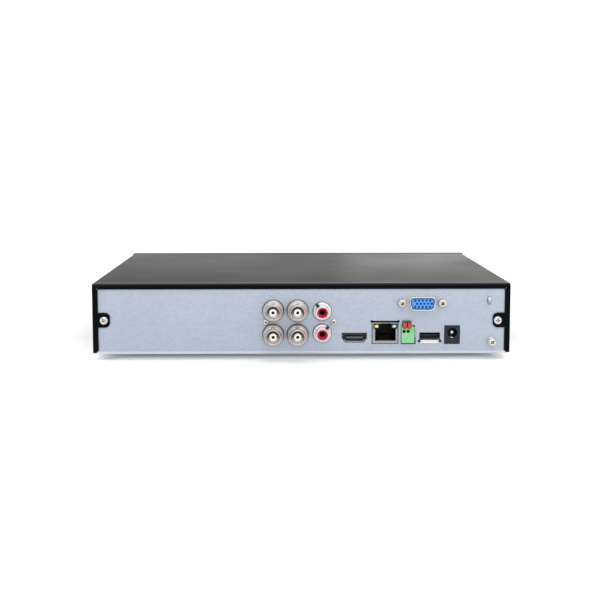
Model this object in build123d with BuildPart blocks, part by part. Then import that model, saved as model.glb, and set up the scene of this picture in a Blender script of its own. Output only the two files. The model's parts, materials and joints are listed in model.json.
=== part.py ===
"""A compact four-channel video recorder, as the separate pieces it comes apart into on a bench.

Millimetres. +Z is up and the recorder stands on Z = 0. -Y is the connector side (the rear), +Y is
the front bezel, and +X is to the right when the connectors are faced. The origin is under the
middle of the whole recorder, connectors included.
"""

import os
from math import cos, radians, sin, tan

from build123d import *

os.makedirs("parts", exist_ok=True)

# ---------------------------------------------------------------- driving dimensions
case_width = 261.0
case_depth = 225.0  # front of the bezel to the rear face of the cover
overall_depth = 236.0  # the same, with the coaxial sockets
case_height = 48.8  # with the feet
foot_height = 4.0
sheet = 1.0  # steel of the tray and of the cover
board_thickness = 1.6
board_top_z = 10.3
bend_radius = 1.5  # outside radius of a folded edge

# ---------------------------------------------------------------- places that follow
half_width = case_width / 2
socket_tip_y = -overall_depth / 2
bezel_front_y = overall_depth / 2
cover_rear_y = bezel_front_y - case_depth
cover_front_y = 104.0
panel_outer_y = cover_rear_y + sheet
panel_inner_y = panel_outer_y + sheet
tray_bottom_z = foot_height
tray_floor_z = tray_bottom_z + sheet
cover_bottom_z = tray_floor_z
cover_ceiling_z = case_height - sheet
tray_half_width = half_width - sheet - 0.6
tray_front_y = cover_front_y - 0.5
panel_top_z = cover_ceiling_z - 0.6
board_bottom_z = board_top_z - board_thickness

# sockets on the rear panel, as (x, z) of their axes
bnc_columns = (-17.75, -2.55)
bnc_rows = (31.5, 16.3)
rca_x = 12.8
rca_rows = (31.0, 17.2)
block_screw_places = ((-22.2, 24.2), (20.05, 24.2))
vga_centre = (75.1, 36.1)
vga_screw_pitch = 25.0
hdmi_centre = (33.0, 14.3)
rj45_centre = (52.2, 17.22)
terminal_x = (62.4, 70.45)
terminal_poles = (63.95, 66.49)
lever_xs = (64.35, 67.25)
usb_centre = (80.2, 14.7)
dc_jack_centre = (94.2, 16.05)
ground_place = (119.0, 11.7)
ear_screw_places = ((-123.1, 25.7), (122.4, 25.3))
tie_bridge_place = (117.2, 37.7)

# feet, board pillars and disk bosses, as (x, y)
foot_places = {
    "foot_rear_left": (-104.0, -73.5),
    "foot_rear_right": (108.0, -73.5),
    "foot_front_left": (-104.0, 84.0),
    "foot_front_right": (104.0, 84.0),
}
board_left_x, board_right_x = -27.0, 108.0
board_rear_y, board_front_y = -103.4, 24.0
board_notch_x, board_notch_y = -16.0, -72.0
pillar_places = ((-8.0, -66.0), (28.0, -68.0), (102.0, -66.0), (-8.0, 18.0), (102.0, 18.0))
disk_width, disk_length, disk_height = 101.6, 147.0, 26.1
disk_x, disk_y = -71.0, 5.5  # centre of the disk drive in plan
disk_bottom_z = 8.0
disk_hole_pitch_x, disk_hole_pitch_y = 95.25, 44.45
disk_front_y = disk_y + disk_length / 2
disk_first_hole_y = disk_front_y - 41.28
disk_hole_places = [
    (disk_x + side * disk_hole_pitch_x / 2, disk_first_hole_y - row * disk_hole_pitch_y)
    for row in (0, 1)
    for side in (-1, 1)
]

pillar_radius, pillar_hole_radius = 2.8, 1.2
boss_top_radius, boss_foot_radius = 6.2, 8.0
disk_screw_radius = 1.7

# cut-outs in the rear panel
bnc_collar_radius, bnc_hole_radius = 6.6, 6.85
rca_flange_radius, rca_hole_radius = 5.8, 6.05
hdmi_cut_width, hdmi_cut_height = 15.7, 6.2
rj45_width, rj45_height, rj45_gap = 16.0, 13.04, 0.4
rj45_cut_top_z = 24.9
usb_width, usb_height = 13.1, 5.7
usb_lip_width, usb_lip_drop = 11.5, 0.95
lever_width = 2.3
dc_width, dc_height = 9.4, 11.3
terminal_cut_z, terminal_step_z, terminal_top_z = 10.15, 21.8, 24.6
vga_cut_width, vga_cut_height = 18.6, 9.6
thread_hole_radius = 1.25


def rear_plane(y):
    """Plane across the recorder at y: sketch x is X, sketch y is Z, and it faces the rear."""
    return Plane.XZ.offset(-y)


def save(builder, name):
    """Names a finished piece and writes it as a STEP file."""
    builder.part.label = name
    export_step(builder.part, f"parts/{name}.step")


def turned(x, z, outline):
    """A turned piece about the Y-wise axis through (x, z), from (radius, y) points."""
    with BuildPart() as piece:
        with BuildSketch(Plane(origin=(x, 0, z), x_dir=(1, 0, 0), z_dir=(0, 0, 1))):
            with BuildLine():
                Polyline(*outline, close=True)
            make_face()
        revolve(axis=Axis((x, 0, z), (0, 1, 0)))
    return piece.part


def rear_seat(place, y, turn=0.0):
    """Plane on the axis through (x, z) at y, facing the rear and turned about that axis."""
    across = (cos(radians(turn)), 0, sin(radians(turn)))
    return Plane(origin=(place[0], y, place[1]), x_dir=across, z_dir=(0, -1, 0))


def pan_screw(seat, head_radius, head_height, shank_radius, shank_length):
    """A pan-head screw with a cross recess; seat is the plane under its head, facing out."""
    recess_width, recess_slot = 1.1 * head_radius, 0.34 * head_radius
    outward = Axis(seat.origin, seat.z_dir)
    with BuildPart() as screw:
        with BuildSketch(seat):
            Circle(head_radius)
        extrude(amount=head_height)
        fillet(screw.faces().sort_by(outward)[-1].edges(), 0.45 * head_height)
        with BuildSketch(seat):
            Circle(shank_radius)
        extrude(amount=-shank_length)
        chamfer(screw.faces().sort_by(outward)[0].edges(), 0.3 * shank_radius)
        with BuildSketch(seat.offset(head_height)):
            Rectangle(recess_width, recess_slot)
            Rectangle(recess_slot, recess_width)
        extrude(amount=-0.7 * head_height, taper=8, mode=Mode.SUBTRACT)
    return screw.part


def d_outline(width, height, radius):
    """The rounded D of a D-subminiature socket, wide side up, about the sketch's origin."""
    narrow = width / 2 - height * tan(radians(10))
    with BuildSketch() as outline:
        with BuildLine():
            Polyline(
                (-width / 2, height / 2),
                (width / 2, height / 2),
                (narrow, -height / 2),
                (-narrow, -height / 2),
                close=True,
            )
        make_face()
        fillet(outline.vertices(), radius)
    return outline.sketch


def hdmi_outline(width, height):
    """The outline of an HDMI socket: full width at the top, drawn in at the bottom."""
    shoulder, narrow = -0.08 * height, 0.37 * width
    with BuildSketch() as outline:
        with BuildLine():
            Polyline(
                (-width / 2, height / 2),
                (width / 2, height / 2),
                (width / 2, shoulder),
                (narrow, -height / 2),
                (-narrow, -height / 2),
                (-width / 2, shoulder),
                close=True,
            )
        make_face()
    return outline.sketch


# ---------------------------------------------------------------- galvanised tray
side_flange_height = 12.0
front_flange_height = 14.0
panel_corner_radius = 4.0
relief_y = panel_inner_y + 2.0  # where the side flanges start, past the bend relief
vent_slot_length, vent_slot_width, vent_pitch = 26.0, 2.4, 6.0

with BuildPart() as base_tray:
    with BuildSketch(Plane.XY.offset(tray_bottom_z)):
        with Locations((0, (panel_outer_y + tray_front_y) / 2)):
            Rectangle(2 * tray_half_width, tray_front_y - panel_outer_y)
    extrude(amount=sheet)
    with BuildSketch(rear_plane(panel_inner_y)):
        with Locations((0, (tray_bottom_z + panel_top_z) / 2)):
            Rectangle(2 * tray_half_width, panel_top_z - tray_bottom_z)
    extrude(amount=sheet)
    with BuildSketch(Plane.XY.offset(tray_bottom_z)):
        for side in (-1, 1):
            with Locations((side * (tray_half_width - sheet / 2), (relief_y + tray_front_y) / 2)):
                Rectangle(sheet, tray_front_y - relief_y)
    extrude(amount=side_flange_height)
    with BuildSketch(Plane.XY.offset(tray_bottom_z)):
        with Locations((0, tray_front_y - sheet / 2)):
            Rectangle(2 * (tray_half_width - 3.0), sheet)
    extrude(amount=front_flange_height)
    with BuildSketch(Plane.XY.offset(tray_bottom_z)):
        for side in (-1, 1):
            with Locations((side * tray_half_width, (panel_inner_y + relief_y) / 2)):
                Rectangle(4.0, relief_y - panel_inner_y)
            with Locations((side * tray_half_width, tray_front_y - 1.5)):
                Rectangle(5.0, 3.0)
    extrude(amount=side_flange_height, mode=Mode.SUBTRACT)
    lower_bends = base_tray.edges().group_by(Axis.Z)[0].filter_by(lambda e: e.length > 150)
    fillet(lower_bends, bend_radius)
    inner_bends = (
        base_tray.edges()
        .filter_by_position(Axis.Z, tray_floor_z - 0.01, tray_floor_z + 0.01)
        .filter_by(lambda e: e.length > 150)
    )
    fillet(inner_bends, bend_radius - sheet)
    panel_corners = base_tray.edges().filter_by(Axis.Y).filter_by(
        lambda e: abs(e.length - sheet) < 0.01 and abs(e.center().X) > tray_half_width - 0.1
    )
    fillet(panel_corners.group_by(Axis.Z)[-1], 1.0)

    # raised bosses that carry the disk drive, hollow underneath for the screw heads
    for place in disk_hole_places:
        with BuildSketch(Plane.XY.offset(tray_floor_z)):
            with Locations(place):
                Circle(boss_foot_radius)
        with BuildSketch(Plane.XY.offset(disk_bottom_z)):
            with Locations(place):
                Circle(boss_top_radius)
        loft()
        with BuildSketch(Plane.XY.offset(tray_bottom_z)):
            with Locations(place):
                Circle(boss_foot_radius - sheet)
        with BuildSketch(Plane.XY.offset(disk_bottom_z - sheet)):
            with Locations(place):
                Circle(boss_top_radius - sheet)
        loft(mode=Mode.SUBTRACT)
    # pressed pillars that carry the board
    with BuildSketch(Plane.XY.offset(tray_floor_z)):
        with Locations(*pillar_places):
            Circle(pillar_radius)
    extrude(amount=board_bottom_z - tray_floor_z)
    with BuildSketch(Plane.XY.offset(tray_bottom_z)):
        with Locations(*pillar_places):
            Circle(pillar_hole_radius)
        with Locations(*disk_hole_places):
            Circle(disk_screw_radius + 0.2)
    extrude(amount=disk_height, mode=Mode.SUBTRACT)
    # vents in the floor, beside the board and under the disk drive
    with BuildSketch(Plane.XY.offset(tray_bottom_z)):
        with Locations((44, -16), (disk_x, -50)):
            with GridLocations(vent_pitch, 0, 8, 1):
                SlotOverall(vent_slot_length, vent_slot_width, rotation=90)
    extrude(amount=sheet, mode=Mode.SUBTRACT)

    # openings in the rear panel
    with BuildSketch(rear_plane(panel_inner_y)):
        for x in bnc_columns:
            for z in bnc_rows:
                with Locations((x, z)):
                    Circle(bnc_hole_radius)
        for z in rca_rows:
            with Locations((rca_x, z)):
                Circle(rca_hole_radius)
        with Locations(*block_screw_places):
            Circle(1.5)
        with Locations(*ear_screw_places, ground_place):
            Circle(thread_hole_radius)
        rj45_cut_bottom_z = rj45_centre[1] - rj45_height / 2 - rj45_gap
        with Locations((rj45_centre[0], (rj45_cut_bottom_z + rj45_cut_top_z) / 2)):
            Rectangle(rj45_width + 2 * rj45_gap, rj45_cut_top_z - rj45_cut_bottom_z)
        with Locations((rj45_centre[0], rj45_cut_top_z - 0.3)):
            with GridLocations(rj45_width + 2 * rj45_gap, 0, 2, 1):
                Circle(0.75)
        with Locations(usb_centre):
            Rectangle(usb_width - 0.1, usb_height - 0.2)
            with GridLocations(usb_width - 0.3, 0, 2, 1):
                with Locations((0, -usb_height / 2)):
                    Circle(0.6)
            with Locations((0, -usb_height / 2)):
                Rectangle(usb_lip_width + 0.6, 2 * usb_lip_drop + 0.3)
        with Locations(dc_jack_centre):
            Rectangle(dc_width + 0.5, dc_height + 0.5)
        with Locations((sum(terminal_x) / 2 + 0.1, (terminal_cut_z + terminal_step_z + 0.25) / 2)):
            Rectangle(terminal_x[1] - terminal_x[0] + 0.6, terminal_step_z + 0.25 - terminal_cut_z)
        with Locations((terminal_x[1] + 0.4, terminal_cut_z + 2.2)):
            Rectangle(1.0, 4.4)
        with Locations((sum(lever_xs) / 2, terminal_top_z - 1.15)):
            Rectangle(lever_xs[1] - lever_xs[0] + lever_width + 0.45, 3.0)
        with Locations(tie_bridge_place):
            Rectangle(1.9, 4.0)
    extrude(amount=sheet, mode=Mode.SUBTRACT)
    with BuildSketch(rear_plane(panel_inner_y)):
        with Locations(vga_centre):
            add(d_outline(vga_cut_width, vga_cut_height, 3.2))
            with GridLocations(vga_screw_pitch, 0, 2, 1):
                Circle(1.75)
        with Locations(hdmi_centre):
            add(hdmi_outline(hdmi_cut_width, hdmi_cut_height))
    extrude(amount=sheet, mode=Mode.SUBTRACT)

    # lanced bridge for a cable tie: a strip of the panel pushed outwards between two slits
    bridge_x, bridge_z = tie_bridge_place
    bridge_reach, bridge_rise = 2.7, 1.9
    with BuildSketch(Plane.YZ.offset(bridge_x - 0.9)):
        with BuildLine():
            ThreePointArc(
                (panel_outer_y, bridge_z - bridge_reach),
                (panel_outer_y - bridge_rise, bridge_z),
                (panel_outer_y, bridge_z + bridge_reach),
            )
            Line(
                (panel_outer_y, bridge_z + bridge_reach),
                (panel_inner_y - 0.3, bridge_z + bridge_reach - 0.75),
            )
            ThreePointArc(
                (panel_inner_y - 0.3, bridge_z + bridge_reach - 0.75),
                (panel_outer_y - bridge_rise + 0.8, bridge_z),
                (panel_inner_y - 0.3, bridge_z - bridge_reach + 0.75),
            )
            Line(
                (panel_inner_y - 0.3, bridge_z - bridge_reach + 0.75),
                (panel_outer_y, bridge_z - bridge_reach),
            )
        make_face()
    extrude(amount=1.8)
save(base_tray, "base_tray")

# ---------------------------------------------------------------- top cover
rear_flange_top_z = 45.0  # lower edge of the folded strip over the panel
rear_flange_side_x = 126.85  # inner edge of the folded strips beside the panel
ear_inner_x, ear_height, ear_radius = 119.5, 9.2, 3.0
side_vent_count, side_vent_pitch = 15, 6.5

with BuildPart() as cover_hollow:
    with BuildSketch(Plane.XY.offset(cover_bottom_z)):
        with Locations((0, (panel_outer_y + cover_front_y) / 2)):
            Rectangle(case_width - 2 * sheet, cover_front_y - panel_outer_y)
    extrude(amount=cover_ceiling_z - cover_bottom_z)
    hollow_verticals = cover_hollow.edges().filter_by(Axis.Z).group_by(Axis.Y)[0]
    hollow_top = cover_hollow.faces().sort_by(Axis.Z)[-1]
    hollow_bends = hollow_top.edges().filter_by(lambda e: e.center().Y < cover_front_y - 1)
    fillet(hollow_verticals + hollow_bends, bend_radius - sheet)

with BuildPart() as top_cover:
    with BuildSketch(Plane.XY.offset(cover_bottom_z)):
        with Locations((0, (cover_rear_y + cover_front_y) / 2)):
            Rectangle(case_width, cover_front_y - cover_rear_y)
    extrude(amount=case_height - cover_bottom_z)
    rear_verticals = top_cover.edges().filter_by(Axis.Z).group_by(Axis.Y)[0]
    top_face = top_cover.faces().sort_by(Axis.Z)[-1]
    top_bends = top_face.edges().filter_by(lambda e: e.center().Y < cover_front_y - 1)
    fillet(rear_verticals + top_bends, bend_radius)
    add(cover_hollow.part, mode=Mode.SUBTRACT)
    # the window that leaves the folded strips and the two screw ears
    with BuildSketch(rear_plane(panel_outer_y)):
        with Locations((0, (cover_bottom_z + rear_flange_top_z) / 2)):
            Rectangle(2 * rear_flange_side_x, rear_flange_top_z - cover_bottom_z)
        for side, (_, ear_z) in zip((-1, 1), ear_screw_places):
            with Locations((side * (ear_inner_x + half_width) / 2, ear_z)):
                RectangleRounded(
                    half_width - ear_inner_x, ear_height, ear_radius, mode=Mode.SUBTRACT
                )
            with Locations((side * (half_width - 2.0), ear_z)):
                Rectangle(8.0, ear_height, mode=Mode.SUBTRACT)
            with Locations((side * (rear_flange_side_x + 0.3), rear_flange_top_z + 0.3)):
                Rectangle(2.6, 0.5, rotation=side * 45)
            with Locations((side * (rear_flange_side_x + 0.2), cover_bottom_z)):
                Rectangle(3.0, 1.6, rotation=-side * 45)
    extrude(amount=sheet, mode=Mode.SUBTRACT)
    with BuildSketch(rear_plane(panel_outer_y)):
        with Locations(*ear_screw_places):
            Circle(1.7)
    extrude(amount=sheet, mode=Mode.SUBTRACT)
    # ventilation slots in both sides
    with BuildSketch(Plane.YZ.offset(-half_width)):
        with Locations((18.0, 26.0)):
            with GridLocations(side_vent_pitch, 0, side_vent_count, 1):
                SlotOverall(20.0, 2.6, rotation=90)
    extrude(amount=case_width, mode=Mode.SUBTRACT)
save(top_cover, "top_cover")

# ---------------------------------------------------------------- front bezel and its light pipe
bezel_rear_y = cover_front_y + 0.1
bezel_bottom_z = tray_floor_z
bezel_wall = 2.2
bezel_crown = 4.0  # how far the middle of the front stands out past its ends
bezel_end_y = bezel_front_y - bezel_crown
led_xs = (-62.0, -70.0, -78.0)
led_z = 29.0
front_board_bottom_z, front_board_top_z = 21.0, 22.2
front_usb_x, front_usb_z = -104.0, front_board_top_z + usb_height / 2
front_boss_xs, front_boss_y = (-115.0, -55.0), 107.0
peg_xs, pipe_bar_y = (-83.0, -57.0), 109.5
trim_bottom_z, trim_top_z, trim_depth, trim_reach = 19.0, 39.0, 0.8, 112.0
clip_xs, clip_width = (-85.0, 0.0, 85.0), 10.0
flange_top_z = tray_bottom_z + front_flange_height
hook_y = tray_front_y - sheet - 0.1


def bezel_block(inset):
    """The crowned block of the bezel, drawn in by inset everywhere but at the rear."""
    reach = half_width - inset
    with BuildPart() as block:
        with BuildSketch(Plane.YZ.offset(-reach)) as section:
            with BuildLine():
                Polyline(
                    (bezel_rear_y, case_height - inset),
                    (bezel_front_y - 5.0 - 0.6 * inset, case_height - inset),
                    (bezel_front_y - inset, case_height - 6.0 - 0.5 * inset),
                    (bezel_front_y - inset, bezel_bottom_z + 12.0 + 0.4 * inset),
                    (bezel_front_y - 7.0 - inset, bezel_bottom_z + inset),
                    (bezel_rear_y, bezel_bottom_z + inset),
                    close=True,
                )
            make_face()
            fillet(section.vertices().filter_by(lambda v: v.Y > bezel_rear_y + 1), 3.0 - inset)
        extrude(amount=2 * reach)
        with BuildSketch(Plane.XY) as plan:
            with BuildLine():
                Line((-reach, bezel_rear_y), (reach, bezel_rear_y))
                Line((reach, bezel_rear_y), (reach, bezel_end_y - inset))
                ThreePointArc(
                    (reach, bezel_end_y - inset),
                    (0, bezel_front_y - inset),
                    (-reach, bezel_end_y - inset),
                )
                Line((-reach, bezel_end_y - inset), (-reach, bezel_rear_y))
            make_face()
            fillet(plan.vertices().filter_by(lambda v: v.Y > bezel_rear_y + 1), 2.7 - inset)
        extrude(amount=case_height, mode=Mode.INTERSECT)
    return block.part


def crown_y(x):
    """How far forward the outside of the bezel stands at x."""
    return bezel_front_y - bezel_crown * (x / half_width) ** 2


with BuildPart() as trim_recess:
    with BuildSketch(Plane.XY.offset(trim_bottom_z)):
        with BuildLine():
            Line((-trim_reach, bezel_front_y + 2), (trim_reach, bezel_front_y + 2))
            Line((trim_reach, bezel_front_y + 2), (trim_reach, bezel_end_y + 0.2))
            ThreePointArc(
                (trim_reach, bezel_end_y + 0.2),
                (0, bezel_front_y - trim_depth),
                (-trim_reach, bezel_end_y + 0.2),
            )
            Line((-trim_reach, bezel_end_y + 0.2), (-trim_reach, bezel_front_y + 2))
        make_face()
    extrude(amount=trim_top_z - trim_bottom_z)

with BuildPart() as front_bezel:
    add(bezel_block(0.0))
    add(bezel_block(bezel_wall), mode=Mode.SUBTRACT)
    add(trim_recess.part, mode=Mode.SUBTRACT)
    with BuildSketch(rear_plane(bezel_front_y + 2)):
        with Locations(*[(x, led_z) for x in led_xs]):
            SlotOverall(3.0, 1.4)
        with Locations((front_usb_x, front_usb_z)):
            RectangleRounded(usb_width + 0.7, usb_height + 0.7, 0.6)
    extrude(amount=bezel_crown + 8, mode=Mode.SUBTRACT)
    # clips that rest on the tray's front flange and hook behind it
    for x in clip_xs:
        with BuildSketch(Plane.YZ.offset(x - clip_width / 2)):
            with BuildLine():
                Polyline(
                    (crown_y(x) - bezel_wall + 0.6, flange_top_z + 1.4),
                    (hook_y - 1.4, flange_top_z + 1.4),
                    (hook_y - 1.0, flange_top_z - 0.8),
                    (hook_y, flange_top_z - 0.8),
                    (hook_y, flange_top_z),
                    (crown_y(x) - bezel_wall + 0.6, flange_top_z),
                    close=True,
                )
            make_face()
        extrude(amount=clip_width)
    # ribbed bosses for the front board, and pegs for the light pipe
    for x in front_boss_xs:
        rib_end_y = crown_y(x) - bezel_wall + 0.5
        with BuildSketch(Plane.XY.offset(front_board_bottom_z - 9.0)):
            with Locations((x, front_boss_y)):
                Circle(2.4)
            with Locations((x, (front_boss_y + rib_end_y) / 2)):
                Rectangle(1.6, rib_end_y - front_boss_y)
        extrude(amount=9.0)
    with BuildSketch(Plane.XY.offset(front_board_bottom_z)):
        with Locations(*[(x, front_boss_y) for x in front_boss_xs]):
            Circle(pillar_hole_radius)
    extrude(amount=-7.0, mode=Mode.SUBTRACT)
    for x in peg_xs:
        with BuildSketch(rear_plane(crown_y(x) - bezel_wall + 0.5)):
            with Locations((x, led_z)):
                Circle(1.2)
        extrude(amount=crown_y(x) - bezel_wall + 0.5 - pipe_bar_y)
save(front_bezel, "front_bezel")

with BuildPart() as light_pipe:
    with BuildSketch(rear_plane(pipe_bar_y)):
        with Locations(((led_xs[0] + led_xs[-1]) / 2, led_z)):
            Rectangle(peg_xs[1] - peg_xs[0] + 3.0, 3.2)
    extrude(amount=1.4)
    with BuildSketch(rear_plane(pipe_bar_y - 0.1)):
        with Locations(*[(x, led_z) for x in led_xs]):
            SlotOverall(2.8, 1.2)
    extrude(amount=-7.2)
    with BuildSketch(rear_plane(pipe_bar_y)):
        with Locations(*[(x, (front_board_top_z + 1.1 + led_z) / 2) for x in led_xs]):
            Rectangle(2.4, led_z - front_board_top_z - 1.1)
    extrude(amount=1.4)
save(light_pipe, "light_pipe")

# ---------------------------------------------------------------- feet and screws
foot_radius = 7.5
for name, place in foot_places.items():
    with BuildPart() as foot:
        with BuildSketch(Plane(origin=(*place, 0), z_dir=(0, 0, 1))):
            Circle(foot_radius)
        extrude(amount=foot_height)
        fillet(foot.edges().group_by(Axis.Z)[0], 1.0)
        with BuildSketch(Plane(origin=(*place, 0), z_dir=(0, 0, 1))):
            Circle(2.6)
        extrude(amount=1.6, mode=Mode.SUBTRACT)
    save(foot, name)

ear_turns = (22.0, -8.0)
with BuildPart() as cover_screws:
    for place, turn in zip(ear_screw_places, ear_turns):
        add(pan_screw(rear_seat(place, cover_rear_y, turn), 2.5, 1.8, 1.2, 6.0))
save(cover_screws, "cover_screws")

flat_washer, spring_washer = 0.8, 1.1  # thicknesses
with BuildPart() as ground_washers:
    with BuildSketch(rear_seat(ground_place, panel_outer_y)):
        Circle(2.75)
        Circle(1.6, mode=Mode.SUBTRACT)
    extrude(amount=flat_washer)
    with BuildSketch(rear_seat(ground_place, panel_outer_y - flat_washer)):
        Circle(2.55)
        Circle(1.6, mode=Mode.SUBTRACT)
        with Locations((2.1, 0)):
            Rectangle(1.4, 0.5, rotation=25, mode=Mode.SUBTRACT)
    extrude(amount=spring_washer)
save(ground_washers, "ground_washers")

ground_seat_y = panel_outer_y - flat_washer - spring_washer
with BuildPart() as ground_screw:
    add(pan_screw(rear_seat(ground_place, ground_seat_y, 38), 2.5, 2.4, 1.2, 7.0))
save(ground_screw, "ground_screw")

with BuildPart() as av_block_screws:
    for place, turn in zip(block_screw_places, (12.0, 50.0)):
        add(pan_screw(rear_seat(place, panel_outer_y, turn), 1.8, 1.6, 1.2, 8.0))
save(av_block_screws, "av_block_screws")

# ---------------------------------------------------------------- coaxial and phono socket block
block_left_x, block_right_x = -25.6, 22.8
block_top_z = 39.6
block_rear_y = -80.0
collar_rear_y = -103.5
spigot_radius, spigot_rear_y = 5.0, -95.0
rca_tip_y = -115.2
rca_radius, rca_bore_radius, rca_core_radius = 4.15, 3.25, 3.2
rca_core_y = -111.0
contact_rear_y = -93.0

with BuildPart() as av_block_housing:
    with BuildSketch(rear_plane(collar_rear_y)):
        with Locations(((block_left_x + block_right_x) / 2, (9.0 + block_top_z) / 2)):
            Rectangle(block_right_x - block_left_x, block_top_z - 9.0)
    extrude(amount=collar_rear_y - panel_inner_y)
    with BuildSketch(rear_plane(block_rear_y)):
        with Locations(((block_left_x + block_right_x) / 2, (board_top_z + block_top_z) / 2)):
            Rectangle(block_right_x - block_left_x, block_top_z - board_top_z)
    extrude(amount=block_rear_y - collar_rear_y)
    with BuildSketch(rear_plane(panel_inner_y)):
        with Locations(*[(x, z) for x in bnc_columns for z in bnc_rows]):
            Circle(bnc_collar_radius + 0.05)
        with Locations(*[(rca_x, z) for z in rca_rows]):
            Circle(rca_flange_radius + 0.05)
    extrude(amount=panel_inner_y - collar_rear_y, mode=Mode.SUBTRACT)
    with BuildSketch(rear_plane(collar_rear_y)):
        with Locations(*[(x, z) for x in bnc_columns for z in bnc_rows]):
            Circle(spigot_radius + 0.05)
        with Locations(*[(rca_x, z) for z in rca_rows]):
            Circle(rca_radius + 0.05)
    extrude(amount=collar_rear_y - spigot_rear_y, mode=Mode.SUBTRACT)
    # black cores that fill the phono sleeves as far as the coloured inserts
    with BuildSketch(rear_plane(spigot_rear_y)):
        with Locations(*[(rca_x, z) for z in rca_rows]):
            Circle(rca_core_radius)
    extrude(amount=spigot_rear_y - rca_core_y)
    with BuildSketch(rear_plane(rca_core_y)):
        with Locations(*[(rca_x, z) for z in rca_rows]):
            Circle(2.0)
        with Locations(*[(x, z) for x in bnc_columns for z in bnc_rows]):
            Circle(1.2)
    extrude(amount=rca_core_y - contact_rear_y, mode=Mode.SUBTRACT)
    with BuildSketch(rear_plane(panel_inner_y)):
        with Locations(*block_screw_places):
            Circle(thread_hole_radius)
    extrude(amount=-8.5, mode=Mode.SUBTRACT)
save(av_block_housing, "av_block_housing")

bnc_places = [(x, z) for z in bnc_rows for x in bnc_columns]
bnc_radius, bnc_bore_radius, bnc_bore_depth = 4.8, 4.06, 8.5
collar_front_y = -110.2
lug_radius, lug_reach, lug_y = 1.0, 5.5, socket_tip_y + 4.7
bore_floor_y = socket_tip_y + bnc_bore_depth
insulator_radius, insulator_tip_y = 2.3, socket_tip_y + 0.3
contact_tip_y = insulator_tip_y + 2.6

for number, (x, z) in enumerate(bnc_places, 1):
    with BuildPart() as bnc_shell:
        add(
            turned(
                x,
                z,
                [
                    (bnc_bore_radius, socket_tip_y + 0.15),
                    (bnc_bore_radius + 0.15, socket_tip_y),
                    (bnc_radius - 0.3, socket_tip_y),
                    (bnc_radius, socket_tip_y + 0.3),
                    (bnc_radius, collar_front_y - 1.6),
                    (bnc_radius + 0.8, collar_front_y - 1.2),
                    (bnc_radius + 0.8, collar_front_y - 0.3),
                    (bnc_collar_radius - 0.5, collar_front_y - 0.3),
                    (bnc_collar_radius, collar_front_y + 0.2),
                    (bnc_collar_radius, collar_rear_y),
                    (spigot_radius, collar_rear_y),
                    (spigot_radius, spigot_rear_y),
                    (insulator_radius + 0.05, spigot_rear_y),
                    (insulator_radius + 0.05, bore_floor_y),
                    (bnc_bore_radius, bore_floor_y),
                ],
            )
        )
        for end in (-1, 1):
            with BuildSketch(Plane.XY.offset(z + end * (bnc_radius - 0.4))):
                with Locations((x, lug_y)):
                    Circle(lug_radius)
            extrude(amount=end * (lug_reach - bnc_radius + 0.4))
    save(bnc_shell, f"bnc_shell_{number}")

with BuildPart() as bnc_insulators:
    for x, z in bnc_places:
        add(
            turned(
                x,
                z,
                [
                    (1.05, insulator_tip_y + 0.15),
                    (1.2, insulator_tip_y),
                    (insulator_radius - 0.45, insulator_tip_y),
                    (insulator_radius, insulator_tip_y + 0.45),
                    (insulator_radius, spigot_rear_y),
                    (1.05, spigot_rear_y),
                ],
            )
        )
save(bnc_insulators, "bnc_insulators")

rca_slot_angles = (128.0, 48.0)
for number, (z, angle) in enumerate(zip(rca_rows, rca_slot_angles), 1):
    with BuildPart() as rca_sleeve:
        add(
            turned(
                rca_x,
                z,
                [
                    (rca_bore_radius, rca_tip_y + 0.3),
                    (rca_bore_radius + 0.25, rca_tip_y),
                    (rca_radius - 0.25, rca_tip_y),
                    (rca_radius, rca_tip_y + 0.3),
                    (rca_radius, panel_outer_y - 1.4),
                    (rca_flange_radius - 0.4, panel_outer_y - 1.4),
                    (rca_flange_radius, panel_outer_y - 1.0),
                    (rca_flange_radius, collar_rear_y),
                    (rca_radius, collar_rear_y),
                    (rca_radius, spigot_rear_y),
                    (rca_bore_radius, spigot_rear_y),
                ],
            )
        )
        slot_reach = rca_radius + 0.5
        slot_centre = (
            rca_x + slot_reach * cos(radians(angle)),
            z + slot_reach * sin(radians(angle)),
        )
        with BuildSketch(rear_plane(collar_rear_y - 0.8)):
            with Locations(slot_centre):
                Rectangle(2.2, 1.7, rotation=angle)
        extrude(amount=5.4, mode=Mode.SUBTRACT)
    save(rca_sleeve, f"rca_sleeve_{number}")
    with BuildPart() as rca_insert:
        add(
            turned(
                rca_x,
                z,
                [
                    (1.65, rca_tip_y + 3.2),
                    (2.8, rca_tip_y + 0.4),
                    (rca_core_radius, rca_tip_y + 0.4),
                    (rca_core_radius, rca_core_y),
                    (1.65, rca_core_y),
                ],
            )
        )
    save(rca_insert, f"rca_insert_{number}")

with BuildPart() as av_contacts:
    for x, z in bnc_places:
        add(
            turned(
                x,
                z,
                [
                    (0.75, contact_tip_y),
                    (1.0, contact_tip_y),
                    (1.0, contact_rear_y - 0.1),
                    (0.0, contact_rear_y - 0.1),
                    (0.0, contact_tip_y + 6.0),
                    (0.75, contact_tip_y + 6.0),
                ],
            )
        )
    for z in rca_rows:
        add(
            turned(
                rca_x,
                z,
                [
                    (1.62, rca_core_y + 0.1),
                    (1.95, rca_core_y + 0.1),
                    (1.95, contact_rear_y - 0.1),
                    (1.62, contact_rear_y - 0.1),
                ],
            )
        )
save(av_contacts, "av_contacts")

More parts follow.
